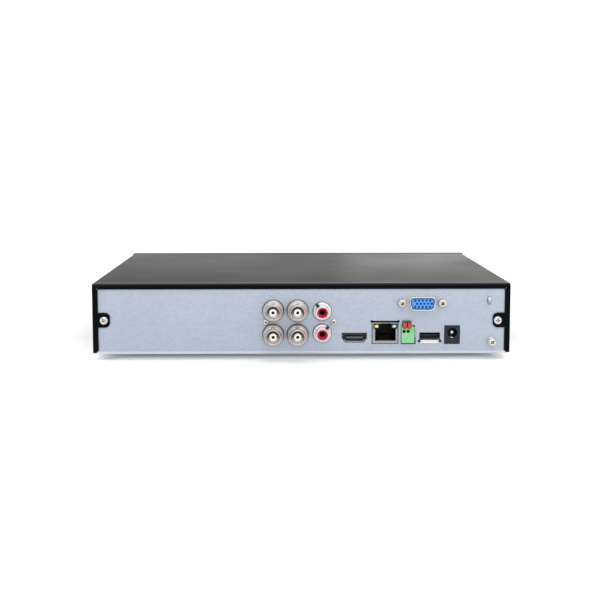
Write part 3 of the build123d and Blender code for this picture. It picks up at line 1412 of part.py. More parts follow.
with BuildPart() as disk_lid:
    with BuildSketch(Plane.XY.offset(disk_base_top_z)):
        with Locations((disk_x, disk_y)):
            RectangleRounded(disk_width - 1.6, disk_length - 1.6, 3.0)
        with Locations(*lid_screw_places):
            Circle(1.1, mode=Mode.SUBTRACT)
    extrude(amount=disk_lid_thickness)
    chamfer(disk_lid.faces().sort_by(Axis.Z)[-1].outer_wire().edges(), 0.4)
save(disk_lid, "disk_lid")

with BuildPart() as disk_platter:
    with BuildSketch(Plane.XY.offset(platter_z)):
        with Locations(platter_place):
            Circle(platter_radius)
    extrude(amount=platter_thickness)
    with BuildSketch(Plane.XY.offset(shoulder_z)):
        with Locations(platter_place):
            Circle(hub_radius)
    extrude(amount=hub_top_z - shoulder_z)
    with BuildSketch(Plane.XY.offset(hub_top_z)):
        with Locations(platter_place):
            with PolarLocations(9.3, 6):
                Circle(1.2)
    extrude(amount=-1.0, mode=Mode.SUBTRACT)
    with BuildSketch(Plane.XY.offset(shoulder_z)):
        with Locations(platter_place):
            Circle(hub_bore_radius)
    extrude(amount=hub_top_z - shoulder_z, mode=Mode.SUBTRACT)
save(disk_platter, "disk_platter")

with BuildPart() as arm_at_origin:
    with BuildSketch(Plane.XY.offset(shoulder_z)):
        Circle(6.5)
    extrude(amount=5.2)
    with BuildSketch(Plane.XY.offset(shoulder_z + 0.2)):
        with BuildLine():
            Polyline((0, -5.5), (14, -4.0), (14, 4.0), (0, 5.5), close=True)
        make_face()
    extrude(amount=4.8)
    for finger_z, head_z in ((20.7, 21.3), (23.9, 23.5)):
        with BuildSketch(Plane.XY.offset(finger_z)):
            with BuildLine():
                Polyline(
                    (12, -4.0), (arm_length, -1.1), (arm_length, 1.1), (12, 4.0), close=True
                )
            make_face()
        extrude(amount=0.7)
        with BuildSketch(Plane.XY.offset(head_z)):
            with Locations((arm_length - 1.0, 0)):
                Rectangle(1.4, 1.1)
        extrude(amount=0.5)
    with BuildSketch(Plane.XY.offset(21.5)):
        with BuildLine():
            Polyline((0, -5.0), (-14, -6.0), (-14, 6.0), (0, 5.0), close=True)
        make_face()
        with Locations((-10, 0)):
            SlotOverall(7.0, 3.0, rotation=90, mode=Mode.SUBTRACT)
    extrude(amount=2.0)
    with BuildSketch(Plane.XY.offset(shoulder_z)):
        Circle(arm_bore_radius)
    extrude(amount=6.0, mode=Mode.SUBTRACT)

with BuildPart() as disk_arm:
    add(arm_at_origin.part.moved(Location((*arm_place, 0), (0, 0, arm_park_angle))))
save(disk_arm, "disk_arm")

with BuildPart() as disk_board:
    with BuildSketch(Plane.XY.offset(pcb_recess_top_z)):
        with Locations((disk_x, (pcb_rear_y + disk_front_y) / 2)):
            Rectangle(2 * pcb_half_width, disk_front_y - pcb_rear_y)
    extrude(amount=-1.6)
    with BuildSketch(Plane.XY.offset(pcb_recess_top_z)):
        with Locations((sum(connector_x) / 2, sum(connector_y) / 2)):
            Rectangle(connector_x[1] - connector_x[0], connector_y[1] - connector_y[0])
    extrude(amount=connector_top_z - pcb_recess_top_z)
    with BuildSketch(Plane.XY.offset(pcb_recess_top_z - 1.6)):
        with Locations((disk_x - 12, 20), (disk_x + 14, 30)):
            Rectangle(14, 14)
        with Locations((disk_x, -12)):
            Rectangle(9, 11)
    extrude(amount=-0.8)
save(disk_board, "disk_board")

with BuildPart() as disk_screws:
    for x, y in disk_hole_places:
        seat = Plane(origin=(x, y, disk_bottom_z - sheet), z_dir=(0, 0, -1))
        add(pan_screw(seat, 3.0, 2.0, disk_screw_radius, 6.0))
    for x, y in lid_screw_places:
        seat = Plane(origin=(x, y, disk_base_top_z + disk_lid_thickness), z_dir=(0, 0, 1))
        add(pan_screw(seat, 1.9, 0.9, 1.0, 5.0))
save(disk_screws, "disk_screws")

# ---------------------------------------------------------------- cables inside
plug_front_y = socket_y + socket_depth / 2 + 7.5  # board plugs reach this far past their sockets
data_plug_x, power_plug_x = -40.0, -66.0
disk_plug_front_y = disk_front_y + 5.5
data_run_y, data_bend, data_radius = 90.5, 5.0, 2.4
power_run_y, power_bend, wire_radius = 97.45, 6.0, 0.85
wire_offsets = (-2.85, -0.95, 0.95, 2.85)
panel_cable_radius = 2.0


def swept_cable(corners, bend, z, radius):
    """A round cable through these (x, y) corners at height z."""
    with BuildPart() as cable:
        with BuildLine(Plane.XY.offset(z)) as run:
            FilletPolyline(*corners, radius=bend)
        with BuildSketch(Plane(origin=run.line @ 0, z_dir=run.line % 0)):
            Circle(radius)
        sweep(path=run.line)
    return cable.part


def plug(x, y, z, width, depth, height):
    """A moulded plug with rounded sides, centred at (x, y, z)."""
    with BuildPart() as block:
        with BuildSketch(Plane.XY.offset(z - height / 2)):
            with Locations((x, y)):
                Rectangle(width, depth)
        extrude(amount=height)
        chamfer(block.edges().filter_by(Axis.Z), 0.6)
    return block.part


with BuildPart() as sata_cable:
    add(plug(data_plug_x, disk_front_y + 3.0, cable_z, 14.0, 6.0, 6.0))
    add(plug(data_socket_x, plug_front_y - 3.75, cable_z, 14.0, 7.5, 6.0))
    add(
        swept_cable(
            [
                (data_plug_x, disk_plug_front_y - 0.5),
                (data_plug_x, data_run_y),
                (data_socket_x, data_run_y),
                (data_socket_x, plug_front_y - 1.0),
            ],
            data_bend,
            cable_z,
            data_radius,
        )
    )
save(sata_cable, "sata_cable")

with BuildPart() as disk_power_cable:
    add(plug(power_plug_x, disk_front_y + 3.0, cable_z, 20.0, 6.0, 6.0))
    add(plug(power_socket_x, plug_front_y - 3.75, cable_z, 11.0, 7.5, 6.0))
    for offset in wire_offsets:
        add(
            swept_cable(
                [
                    (power_plug_x + offset, disk_plug_front_y - 0.5),
                    (power_plug_x + offset, power_run_y - offset),
                    (power_socket_x - offset, power_run_y - offset),
                    (power_socket_x - offset, plug_front_y - 1.0),
                ],
                power_bend - offset,
                cable_z,
                wire_radius,
            )
        )
save(disk_power_cable, "disk_power_cable")

with BuildPart() as front_cable:
    add(plug(panel_plug_x, panel_plug_y, front_board_top_z + 2.6, 7.0, 8.0, 5.2))
    add(plug(panel_socket_x, 18.0, board_top_z + 11.0, 11.0, 7.0, 12.6))
    add(
        swept_cable(
            [
                (panel_plug_x + 3.0, panel_plug_y),
                (panel_socket_x, panel_plug_y),
                (panel_socket_x, 21.0),
            ],
            8.0,
            panel_cable_z,
            panel_cable_radius,
        )
    )
save(front_cable, "front_cable")
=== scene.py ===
"""The looks of a compact four-channel video recorder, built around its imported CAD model.

The scene is in metres, in the CAD model's frame: -Y is the connector side, +X is to the right when
the connectors are faced, +Z is up, and the recorder stands on Z = 0.
"""

import json
import math

import bmesh
import bpy
from mathutils import Matrix, Vector


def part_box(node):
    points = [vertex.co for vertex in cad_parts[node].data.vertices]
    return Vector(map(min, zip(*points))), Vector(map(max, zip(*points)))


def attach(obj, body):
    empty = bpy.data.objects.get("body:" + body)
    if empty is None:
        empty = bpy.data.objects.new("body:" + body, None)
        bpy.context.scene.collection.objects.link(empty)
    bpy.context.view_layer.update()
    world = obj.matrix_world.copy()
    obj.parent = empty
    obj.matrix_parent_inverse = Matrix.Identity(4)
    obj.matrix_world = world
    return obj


MM = 0.001

PATCHES, FINE = 260.0, 1500.0  # noise sizes that several materials share, in features per metre
CORNER = 1.6 * MM  # how far from a corner most painted shade reaches
EDGE = 0.12 * MM  # the radius to which sharp edges are shaded round
EVEN = (1.0, 1.0, 1.0)  # a texture stretched the same along every axis
WHITE = (1.0, 1.0, 1.0)
# as in the CAD model: the top of the cover and bezel, the rear of the cover, the bottom of the tray
CASE_TOP, CASE_REAR, TRAY_BOTTOM = 48.8 * MM, -107.0 * MM, 4.0 * MM

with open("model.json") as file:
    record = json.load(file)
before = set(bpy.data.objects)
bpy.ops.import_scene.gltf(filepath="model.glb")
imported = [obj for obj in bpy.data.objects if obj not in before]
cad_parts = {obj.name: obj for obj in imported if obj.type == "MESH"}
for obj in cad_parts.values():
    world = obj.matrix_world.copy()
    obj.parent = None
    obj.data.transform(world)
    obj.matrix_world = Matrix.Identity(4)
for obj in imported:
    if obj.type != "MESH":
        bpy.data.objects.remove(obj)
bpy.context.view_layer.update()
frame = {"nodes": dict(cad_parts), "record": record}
nodes = frame["nodes"]
scene = bpy.context.scene


# ---------------------------------------------------------------- materials
class Nodes:
    """A node tree, with short ways to add and join nodes."""

    def __init__(self, tree):
        self.tree = tree

    def add(self, kind, **settings):
        """A new node with these properties set."""
        node = self.tree.nodes.new(kind)
        for key, value in settings.items():
            setattr(node, key, value)
        return node

    def join(self, source, target):
        """Links an output to an input."""
        self.tree.links.new(source, target)

    def put(self, target, value):
        """Links value to the input if it is an output, and sets it otherwise, a colour as RGB."""
        if isinstance(value, bpy.types.NodeSocket):
            self.join(value, target)
        elif target.type == "RGBA":
            target.default_value = (*value, 1.0)
        else:
            target.default_value = value

    def part(self, vector, axis):
        """A vector's part along X, Y or Z."""
        split = self.add("ShaderNodeSeparateXYZ")
        self.join(vector, split.inputs["Vector"])
        return split.outputs[axis]

    def span(self, value, low, high, start=0.0, end=1.0, interpolation="LINEAR"):
        """value's range start..end mapped to low..high."""
        node = self.add("ShaderNodeMapRange", interpolation_type=interpolation)
        ranges = {"From Min": start, "From Max": end, "To Min": low, "To Max": high}
        for key, number in ranges.items():
            self.put(node.inputs[key], number)
        self.put(node.inputs["Value"], value)
        return node.outputs["Result"]

    def maths(self, operation, first, second=0.0):
        """A maths node's result."""
        node = self.add("ShaderNodeMath", operation=operation)
        self.put(node.inputs[0], first)
        self.put(node.inputs[1], second)
        return node.outputs["Value"]

    def product(self, *factors):
        """The factors multiplied together."""
        total = factors[0]
        for factor in factors[1:]:
            total = self.maths("MULTIPLY", total, factor)
        return total

    def vector_maths(self, operation, first, second=(0.0, 0.0, 0.0)):
        """A vector maths node, whose output is Vector or Value."""
        node = self.add("ShaderNodeVectorMath", operation=operation)
        self.put(node.inputs[0], first)
        self.put(node.inputs[1], second)
        return node

    def blend(self, factor, first, second):
        """A mix of two colours."""
        node = self.add("ShaderNodeMix", data_type="RGBA")
        self.put(node.inputs["Factor"], factor)
        self.put(node.inputs["A"], first)
        self.put(node.inputs["B"], second)
        return node.outputs["Result"]


class Surface(Nodes):
    """The node tree of a new material, which has a Principled shader."""

    def __init__(self, name):
        self.material = bpy.data.materials.new(name)
        self.material.use_nodes = True
        super().__init__(self.material.node_tree)
        self.shader = self.tree.nodes["Principled BSDF"]
        self.place = self.add("ShaderNodeTexCoord").outputs["Object"]

    def along(self, axis):
        """The object's coordinate along an axis, in metres."""
        return self.part(self.place, axis)

    def facing(self, axis):
        """The surface normal's part along an axis, in -1..1."""
        return self.part(self.add("ShaderNodeNewGeometry").outputs["Normal"], axis)

    def stretched(self, scale):
        """The object's coordinates scaled by (x, y, z)."""
        mapping = self.add("ShaderNodeMapping")
        mapping.inputs["Scale"].default_value = scale
        self.join(self.place, mapping.inputs["Vector"])
        return mapping.outputs["Vector"]

    def noise(self, scale, detail, stretch=EVEN):
        """Fractal noise in 0..1, with scale in features per metre."""
        node = self.add("ShaderNodeTexNoise")
        node.inputs["Scale"].default_value = scale
        node.inputs["Detail"].default_value = detail
        node.inputs["Roughness"].default_value = 0.55
        self.join(self.stretched(stretch), node.inputs["Vector"])
        return node.outputs["Fac"]

    def cells(self, scale, stretch):
        """A random grey in 0..1 for each Voronoi cell."""
        node = self.add("ShaderNodeTexVoronoi")
        node.inputs["Scale"].default_value = scale
        self.join(self.stretched(stretch), node.inputs["Vector"])
        split = self.add("ShaderNodeSeparateColor")
        self.join(node.outputs["Color"], split.inputs["Color"])
        return split.outputs["Red"]

    def spread(self, noise, low, high):
        """The middle of a noise's range, where most of it lies, mapped to low..high."""
        return self.span(noise, low, high, 0.3, 0.7)

    def hollows(self, reach, start=0.1, end=0.7):
        """1 on open surfaces and 0 deep in holes and corners, looking this far around."""
        node = self.add("ShaderNodeAmbientOcclusion", samples=6)
        node.inputs["Distance"].default_value = reach
        return self.span(node.outputs["AO"], 0.0, 1.0, start, end)

    def bump(self, height, distance, strength, rounding):
        """Bumps the surface by height times distance, in metres, and shades its edges round."""
        node = self.add("ShaderNodeBump")
        node.inputs["Distance"].default_value = distance
        node.inputs["Strength"].default_value = strength
        self.put(node.inputs["Height"], height)
        bevel = self.add("ShaderNodeBevel", samples=4)
        bevel.inputs["Radius"].default_value = rounding
        self.join(bevel.outputs["Normal"], node.inputs["Normal"])
        self.join(node.outputs["Normal"], self.shader.inputs["Normal"])

    def surface(self, **values):
        """Sets or links the Principled shader's inputs, given with _ for each space."""
        for key, value in values.items():
            self.put(self.shader.inputs[key.replace("_", " ")], value)


def shade(colour, factor):
    """A colour made lighter or darker."""
    return tuple(min(1.0, part * factor) for part in colour)


def plastic(name, colour, roughness, variation=0.10, depth=0.02 * MM, corner_shade=0.3, **extra):
    """Moulded plastic: slight flow marks, painted shade in the corners, and a fine moulded texture.
    """
    n = Surface(name)
    flow = n.noise(120.0, 3.0)
    fine = n.noise(900.0, 5.0)
    open_colour = n.blend(flow, shade(colour, 1 - variation), shade(colour, 1 + variation))
    n.surface(
        # painted shade: the colour darkens in corners and hollows
        Base_Color=n.blend(n.hollows(CORNER), shade(colour, corner_shade), open_colour),
        Roughness=n.spread(fine, roughness - 0.08, roughness + 0.1),
        **extra,
    )
    n.bump(fine, depth, 0.6, EDGE)
    return n.material


def metal(name, colour, roughness, stretch=EVEN, depth=0.004 * MM, hollow=CORNER, metallic=0.9):
    """Plated or bare metal: fine tool marks, duller patches, and painted shade in the hollows."""
    n = Surface(name)
    marks = n.noise(FINE, 3.0, stretch)
    patches = n.noise(PATCHES, 4.0)
    open_colour = n.blend(patches, shade(colour, 0.93), shade(colour, 1.05))
    n.surface(
        # painted shade: the colour darkens in the hollows, as far in as the hollow distance
        Base_Color=n.blend(n.hollows(hollow), shade(colour, 0.12), open_colour),
        Metallic=metallic,
        Roughness=n.spread(patches, roughness * 0.85, roughness * 1.2),
    )
    n.bump(marks, depth, 0.5, EDGE)
    return n.material


def bright_bore(name, colour, middle):
    """Satin plate with painted light and shade: its bore, centred at this height, has a painted
    glow below and painted shade above, and faces turned sideways are painted dark.
    """
    n = Surface(name)
    patches = n.noise(PATCHES, 4.0)
    open_colour = n.blend(patches, shade(colour, 0.92), shade(colour, 1.06))
    # painted shade on faces turned sideways
    sideways = n.span(n.maths("ABSOLUTE", n.facing("X")), 0.0, 0.75, 0.25, 0.85)
    open_colour = n.blend(sideways, open_colour, shade(colour, 0.08))
    hollow = n.hollows(4.0 * MM, 0.0, 0.75)
    # painted shade deep in the bore above its middle, and a painted glow below it
    below = n.span(n.along("Z"), 1.0, 0.0, middle - 3.2 * MM, middle - 1.0 * MM)
    dark = n.blend(below, shade(colour, 0.06), colour)
    n.surface(
        Base_Color=n.blend(hollow, dark, open_colour),
        Metallic=0.65,
        Roughness=n.spread(patches, 0.36, 0.50),
        Emission_Color=colour,
        Emission_Strength=n.product(below, n.span(hollow, 0.70, 0.0)),
    )
    n.bump(n.noise(FINE, 3.0), 0.004 * MM, 0.5, EDGE)
    return n.material


def shaded_part(name, colour, roughness, metallic, start, end, dark):
    """Satin stock with painted shade that sets in between two heights and covers all above them,
    painted shade in its hollows, and handling marks.
    """
    n = Surface(name)
    patches = n.noise(420.0, 4.0)
    open_colour = n.blend(patches, shade(colour, 0.9), shade(colour, 1.08))
    # painted shade above the given heights
    shaded = n.blend(n.span(n.along("Z"), 0.0, 1.0, start, end), open_colour, shade(colour, dark))
    n.surface(
        # painted shade in the hollows
        Base_Color=n.blend(n.hollows(1.2 * MM), shade(colour, 0.08), shaded),
        Metallic=metallic,
        Roughness=n.spread(patches, roughness * 0.85, roughness * 1.2),
    )
    n.bump(n.noise(FINE, 3.0), 0.006 * MM, 0.5, EDGE)
    return n.material


def powder_coat():
    """Fine matt black powder coat: orange peel, dust, and a painted highlight along the rear fold.
    """
    n = Surface("powder_coat")
    peel = n.noise(FINE, 3.0)
    broad = n.noise(14.0, 3.0)
    # specks of dust in the paint, and dust that has settled on what faces up
    specks = n.product(n.span(n.noise(5200.0, 2.0), 0.0, 1.0, 0.66, 0.80), 0.15)
    upward = n.span(n.facing("Z"), 0.0, 1.0, 0.90, 0.99)
    drifts = n.span(n.noise(26.0, 6.0), 0.05, 0.30, 0.25, 0.75)
    settled = n.product(upward, drifts, n.spread(n.noise(3000.0, 2.0), 0.4, 1.6))
    base = n.blend(broad, (0.0006, 0.0022, 0.0038), (0.0014, 0.0028, 0.0042))
    base = n.blend(specks, base, (0.02, 0.02, 0.02))
    base = n.blend(settled, base, (0.030, 0.029, 0.028))
    # painted highlight: lighter paint over the rear fold, and a more specular band on the flat just
    # before it
    height = n.along("Z")
    behind = n.span(n.along("Y"), 1.0, 0.0, CASE_REAR + 2.5 * MM, CASE_REAR + 6.0 * MM)
    above = n.span(height, 0.0, 1.0, CASE_TOP - 1.4 * MM, CASE_TOP - 0.4 * MM)
    fold_highlight = n.product(behind, above, n.spread(peel, 0.7, 1.0))
    flat = n.span(height, 0.0, 1.0, CASE_TOP - 0.7 * MM, CASE_TOP - 0.1 * MM)
    glossy_flat = n.product(fold_highlight, flat)
    n.surface(
        Base_Color=n.blend(fold_highlight, base, (0.030, 0.030, 0.032)),
        Roughness=n.spread(broad, 0.37, 0.43),
        Specular_IOR_Level=n.span(glossy_flat, 0.03, 0.30),
    )
    n.bump(peel, 0.022 * MM, 0.5, 0.4 * MM)
    return n.material


def zinc_plate():
    """Galvanised steel: faint spangle, clouds and rolling lines, a painted highlight along its
    lower fold, and painted shade in its corners.
    """
    n = Surface("zinc_plate")
    spangle = n.cells(620.0, (0.8, 1.0, 1.2))
    cloud = n.noise(60.0, 4.0, (0.5, 1.0, 1.0))
    grain = n.noise(FINE, 3.0, (0.7, 1.0, 1.0))
    tone = n.maths("ADD", n.product(spangle, 0.24), n.product(cloud, 0.36))
    tone = n.maths("ADD", tone, n.product(grain, 0.40))
    open_colour = n.blend(n.spread(tone, 0.0, 1.0), (0.302, 0.341, 0.402), (0.354, 0.396, 0.464))
    # painted highlight: lighter along the lower fold
    fold = n.span(n.along("Z"), 1.0, 0.0, TRAY_BOTTOM + 0.8 * MM, TRAY_BOTTOM + 2.2 * MM)
    open_colour = n.blend(fold, open_colour, (0.62, 0.65, 0.70))
    n.surface(
        # painted shade in corners and hollows
        Base_Color=n.blend(n.hollows(2.5 * MM), (0.14, 0.15, 0.17), open_colour),
        Metallic=0.70,
        Roughness=n.spread(tone, 0.40, 0.50),
    )
    n.bump(grain, 0.005 * MM, 0.5, 0.15 * MM)
    return n.material


def bezel_plastic():
    """The front bezel: fine-grained plastic, matt on top, with a glossy strip let into its face."""
    n = Surface("bezel_plastic")
    strip_reach, strip_middle, strip_half = 111.9 * MM, 29.0 * MM, 9.9 * MM
    fine = n.noise(1100.0, 4.0)
    flow = n.noise(60.0, 3.0, (0.4, 1.0, 1.0))
    height = n.along("Z")
    from_middle = n.maths("ABSOLUTE", n.maths("SUBTRACT", height, strip_middle))
    gloss = n.product(
        n.maths("LESS_THAN", n.maths("ABSOLUTE", n.along("X")), strip_reach),
        n.maths("LESS_THAN", from_middle, strip_half),
    )
    grained = n.blend(flow, (0.0085, 0.0095, 0.011), (0.012, 0.013, 0.015))
    # painted shade in corners and hollows
    grained = n.blend(n.hollows(CORNER), (0.002, 0.002, 0.002), grained)
    n.surface(
        Base_Color=n.blend(gloss, grained, (0.003, 0.003, 0.004)),
        Roughness=n.span(gloss, n.spread(fine, 0.36, 0.50), n.spread(flow, 0.10, 0.16)),
        Specular_IOR_Level=n.span(height, 0.30, 0.004, CASE_TOP - 3.3 * MM, CASE_TOP - 1.3 * MM),
    )
    n.bump(n.product(fine, n.maths("SUBTRACT", 1.0, gloss)), 0.03 * MM, 0.6, 0.2 * MM)
    return n.material


def lamp_lens(name, node, body, glow):
    """A lamp's lens: tinted plastic at its rim and a pale lit spot in its middle."""
    n = Surface(name)
    low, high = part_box(node)
    per_size = (1 / (high[0] - low[0]), 0.0, 1 / (high[2] - low[2]))
    offset = n.vector_maths("SUBTRACT", n.place, (low + high) / 2).outputs["Vector"]
    flat = n.vector_maths("MULTIPLY", offset, per_size).outputs["Vector"]
    reach = n.vector_maths("LENGTH", flat).outputs["Value"]
    lit = n.span(reach, 1.0, 0.0, 0.16, 0.52)
    haze = n.noise(2400.0, 2.0)
    colour = n.blend(lit, body, glow)
    n.surface(
        Base_Color=n.blend(n.product(haze, 0.15), colour, shade(glow, 0.8)),
        Roughness=n.spread(haze, 0.14, 0.24),
        Emission_Color=colour,
        Emission_Strength=n.product(lit, 0.16),
    )
    n.bump(haze, 0.004 * MM, 0.4, 0.1 * MM)
    return n.material


NICKEL = (0.53, 0.480, 0.455)
TIN_PLATE = (0.29, 0.295, 0.31)
ORANGE = (0.36, 0.026, 0.012)

SLOT_MATERIALS = {
    "zinc_plate": zinc_plate(),
    "cover_paint": powder_coat(),
    "black_plastic": plastic(
        "black_plastic", (0.010, 0.014, 0.021), 0.42, corner_shade=0.05, Specular_IOR_Level=0.22
    ),
    "clear_plastic": plastic("clear_plastic", (0.75, 0.78, 0.80), 0.15, Transmission_Weight=0.6),
    "foot_rubber": plastic("foot_rubber", (0.015, 0.015, 0.015), 0.75, depth=0.06 * MM),
    "nickel": metal("nickel", NICKEL, 0.42, hollow=0.9 * MM, metallic=0.65),
    "screw_steel": metal("screw_steel", (0.62, 0.60, 0.58), 0.26),
    "white_dielectric": plastic("white_dielectric", (0.74, 0.70, 0.66), 0.35, 0.04),
    "red_plastic": plastic("red_plastic", (0.46, 0.018, 0.055), 0.28),
    "gold": metal("gold", (0.50, 0.35, 0.14), 0.25, hollow=4.0 * MM),
    "blue_plastic": plastic("blue_plastic", (0.036, 0.22, 0.64), 0.40, corner_shade=0.10),
    "socket_steel": metal("socket_steel", TIN_PLATE, 0.30, (0.2, 1.0, 1.0), hollow=5.0 * MM),
    "yellow_lens": lamp_lens(
        "yellow_lens", "rj45_led_yellow", (0.10, 0.09, 0.01), (0.72, 0.69, 0.25)
    ),
    "green_lens": lamp_lens(
        "green_lens", "rj45_led_green", (0.01, 0.05, 0.025), (0.44, 0.70, 0.52)
    ),
    "green_plastic": plastic("green_plastic", (0.175, 0.45, 0.21), 0.42, corner_shade=0.02),
    "orange_plastic": plastic("orange_plastic", ORANGE, 0.36, 0.25, corner_shade=0.08),
    "board_green": plastic("board_green", (0.01, 0.09, 0.035), 0.30),
    "chip_black": plastic("chip_black", (0.02, 0.02, 0.02), 0.55),
    "heatsink_black": metal("heatsink_black", (0.05, 0.05, 0.05), 0.45),
    "capacitor_sleeve": plastic("capacitor_sleeve", (0.02, 0.03, 0.08), 0.30),
    "cell_steel": metal("cell_steel", (0.70, 0.70, 0.68), 0.28),
    "socket_white": plastic("socket_white", (0.80, 0.78, 0.70), 0.45),
    "cast_aluminium": metal("cast_aluminium", (0.42, 0.43, 0.44), 0.55, depth=0.04 * MM),
    "lid_aluminium": metal("lid_aluminium", (0.66, 0.67, 0.68), 0.32, (1.0, 0.05, 1.0)),
    "platter_mirror": metal("platter_mirror", (0.86, 0.86, 0.87), 0.06),
    "arm_aluminium": metal("arm_aluminium", (0.66, 0.67, 0.68), 0.30),
    "cable_red": plastic("cable_red", (0.42, 0.02, 0.02), 0.40),
    "cable_black": plastic("cable_black", (0.02, 0.02, 0.02), 0.50),
    "wire_yellow": plastic("wire_yellow", (0.72, 0.52, 0.04), 0.40),
}

# parts whose plate or moulding differs from the rest of their slot, and parts with painted light or
# shade
BNC_SHELLS = [f"bnc_shell_{number}" for number in range(1, 5)]
BNC_HIGH_Z, BNC_LOW_Z = 31.5 * MM, 16.3 * MM
# painted light and shade in the BNC bores
BNC_HIGH = bright_bore("bnc_plate_painted_light_high", NICKEL, BNC_HIGH_Z)
BNC_LOW = bright_bore("bnc_plate_painted_light_low", NICKEL, BNC_LOW_Z)
PHONO_PLATE = metal("phono_plate", (0.64, 0.60, 0.62), 0.30, hollow=1.8 * MM, metallic=0.7)
# painted shade: the terminal levers darken towards their tops
LEVER = shaded_part("lever_plastic_painted_shade", ORANGE, 0.36, 0.0, 22.8 * MM, 24.6 * MM, 0.15)
NODE_MATERIALS = {
    "front_bezel": bezel_plastic(),
    # painted highlight: the rear USB shell is near white, which shows on its lower lip; painted
    # shade darkens it above the lip
    "usb_rear_shell": shaded_part(
        "usb_painted_highlight_and_shade", (0.98, 0.98, 0.99), 0.34, 0.3, 12.7 * MM, 13.2 * MM, 0.05
    ),
    "vga_shell": metal("vga_plate", (0.70, 0.67, 0.65), 0.42, hollow=0.6 * MM, metallic=0.75),
    "vga_jackscrews": metal("jackscrew_plate", (0.52, 0.50, 0.48), 0.30, hollow=2.2 * MM),
    "vga_contacts": metal("shaded_contacts", (0.004, 0.020, 0.080), 0.45, metallic=0.3),
    "dc_jack_contacts": metal(
        "pin_plate", (0.62, 0.64, 0.67), 0.30, hollow=2.2 * MM, metallic=0.7
    ),
    "rj45_contacts": metal("shaded_gold", (0.10, 0.075, 0.030), 0.40, hollow=4.0 * MM),
    "rj45_housing": plastic(
        "socket_black", (0.0015, 0.0018, 0.002), 0.42, corner_shade=0.1, Specular_IOR_Level=0.1
    ),
    # painted shade: the HDMI shell darkens above its lower part
    "hdmi_shell": shaded_part(
        "hdmi_plate_painted_shade", shade(TIN_PLATE, 1.3), 0.34, 0.8, 12.0 * MM, 13.8 * MM, 0.15
    ),
    "hdmi_tongue": plastic("tongue_plastic", (0.06, 0.065, 0.07), 0.4, corner_shade=0.5),
    "rca_sleeve_1": PHONO_PLATE,
    "rca_sleeve_2": PHONO_PLATE,
    "terminal_lever_1": LEVER,
    "terminal_lever_2": LEVER,
    **{name: BNC_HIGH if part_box(name)[1][2] > BNC_HIGH_Z else BNC_LOW for name in BNC_SHELLS},
}

slot_of = {row["node"]: row["material_slot"] for row in frame["record"]["subparts"]}
for name, node in nodes.items():
    node.data.materials.clear()
    node.data.materials.append(NODE_MATERIALS.get(name, SLOT_MATERIALS[slot_of[name]]))


# ---------------------------------------------------------------- details too fine for the CAD
def new_piece(name, slot, build):
    """Makes an object of a finished bmesh, fixed to the case, in a slot's material."""
    mesh = bpy.data.meshes.new(name)
    build.to_mesh(mesh)
    build.free()
    mesh.materials.append(SLOT_MATERIALS[slot])
    piece = bpy.data.objects.new(name, mesh)
    scene.collection.objects.link(piece)
    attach(piece, "case")


def box(build, centre, size, turn=0.0):
    """Adds a box, in millimetres, turned about the line along Y through its centre."""
    place = Matrix.Translation(Vector(centre) * MM) @ Matrix.Rotation(turn, 4, "Y")
    scale = Matrix.Diagonal((*(Vector(size) * MM), 1.0))
    bmesh.ops.create_cube(build, size=1.0, matrix=place @ scale)


def disc(build, centre, radius, depth):
    """Adds a disc that faces along Y, in millimetres."""
    place = Matrix.Translation(Vector(centre) * MM) @ Matrix.Rotation(math.pi / 2, 4, "X")
    bmesh.ops.create_cone(
        build,
        cap_ends=True,
        segments=32,
        radius1=radius * MM,
        radius2=radius * MM,
        depth=depth * MM,
        matrix=place,
    )


# black pieces in the polarising slots of the two phono sleeves: painted shade for the slots' dark
# depth
SLEEVE_X, KEYWAY_REACH, KEYWAY_Y = 12.8, 4.75, -106.9
KEYWAY_SIZE = (2.0, 5.0, 1.45)
keyway_shade = bmesh.new()
for sleeve_z, keyway_angle in ((31.0, 128.0), (17.2, 48.0)):
    lean = math.radians(keyway_angle)
    keyway_x = SLEEVE_X + KEYWAY_REACH * math.cos(lean)
    keyway_z = sleeve_z + KEYWAY_REACH * math.sin(lean)
    box(keyway_shade, (keyway_x, KEYWAY_Y, keyway_z), KEYWAY_SIZE, -lean)
new_piece("rca_keyway_shade", "black_plastic", keyway_shade)

# black pieces that paint shadowed gaps round the rear USB port's lower corners and beside the
# terminal block
PANEL_Y = -106.0
GAP_DEPTH = 0.6
USB_CORNERS_X, USB_CORNERS_Z, USB_GAP_RADIUS = (73.55, 86.85), 12.1, 0.85
BLOCK_GAP_X, BLOCK_GAP_Z, BLOCK_GAP_WIDTH, BLOCK_GAP_HEIGHT = 70.9, 12.35, 0.9, 4.4
gaps = bmesh.new()
for corner_x in USB_CORNERS_X:
    disc(gaps, (corner_x, PANEL_Y + 0.25, USB_CORNERS_Z), USB_GAP_RADIUS, GAP_DEPTH)
block_gap_size = (BLOCK_GAP_WIDTH, GAP_DEPTH, BLOCK_GAP_HEIGHT)
box(gaps, (BLOCK_GAP_X, PANEL_Y + 0.45, BLOCK_GAP_Z), block_gap_size)
new_piece("panel_gap_shade", "black_plastic", gaps)


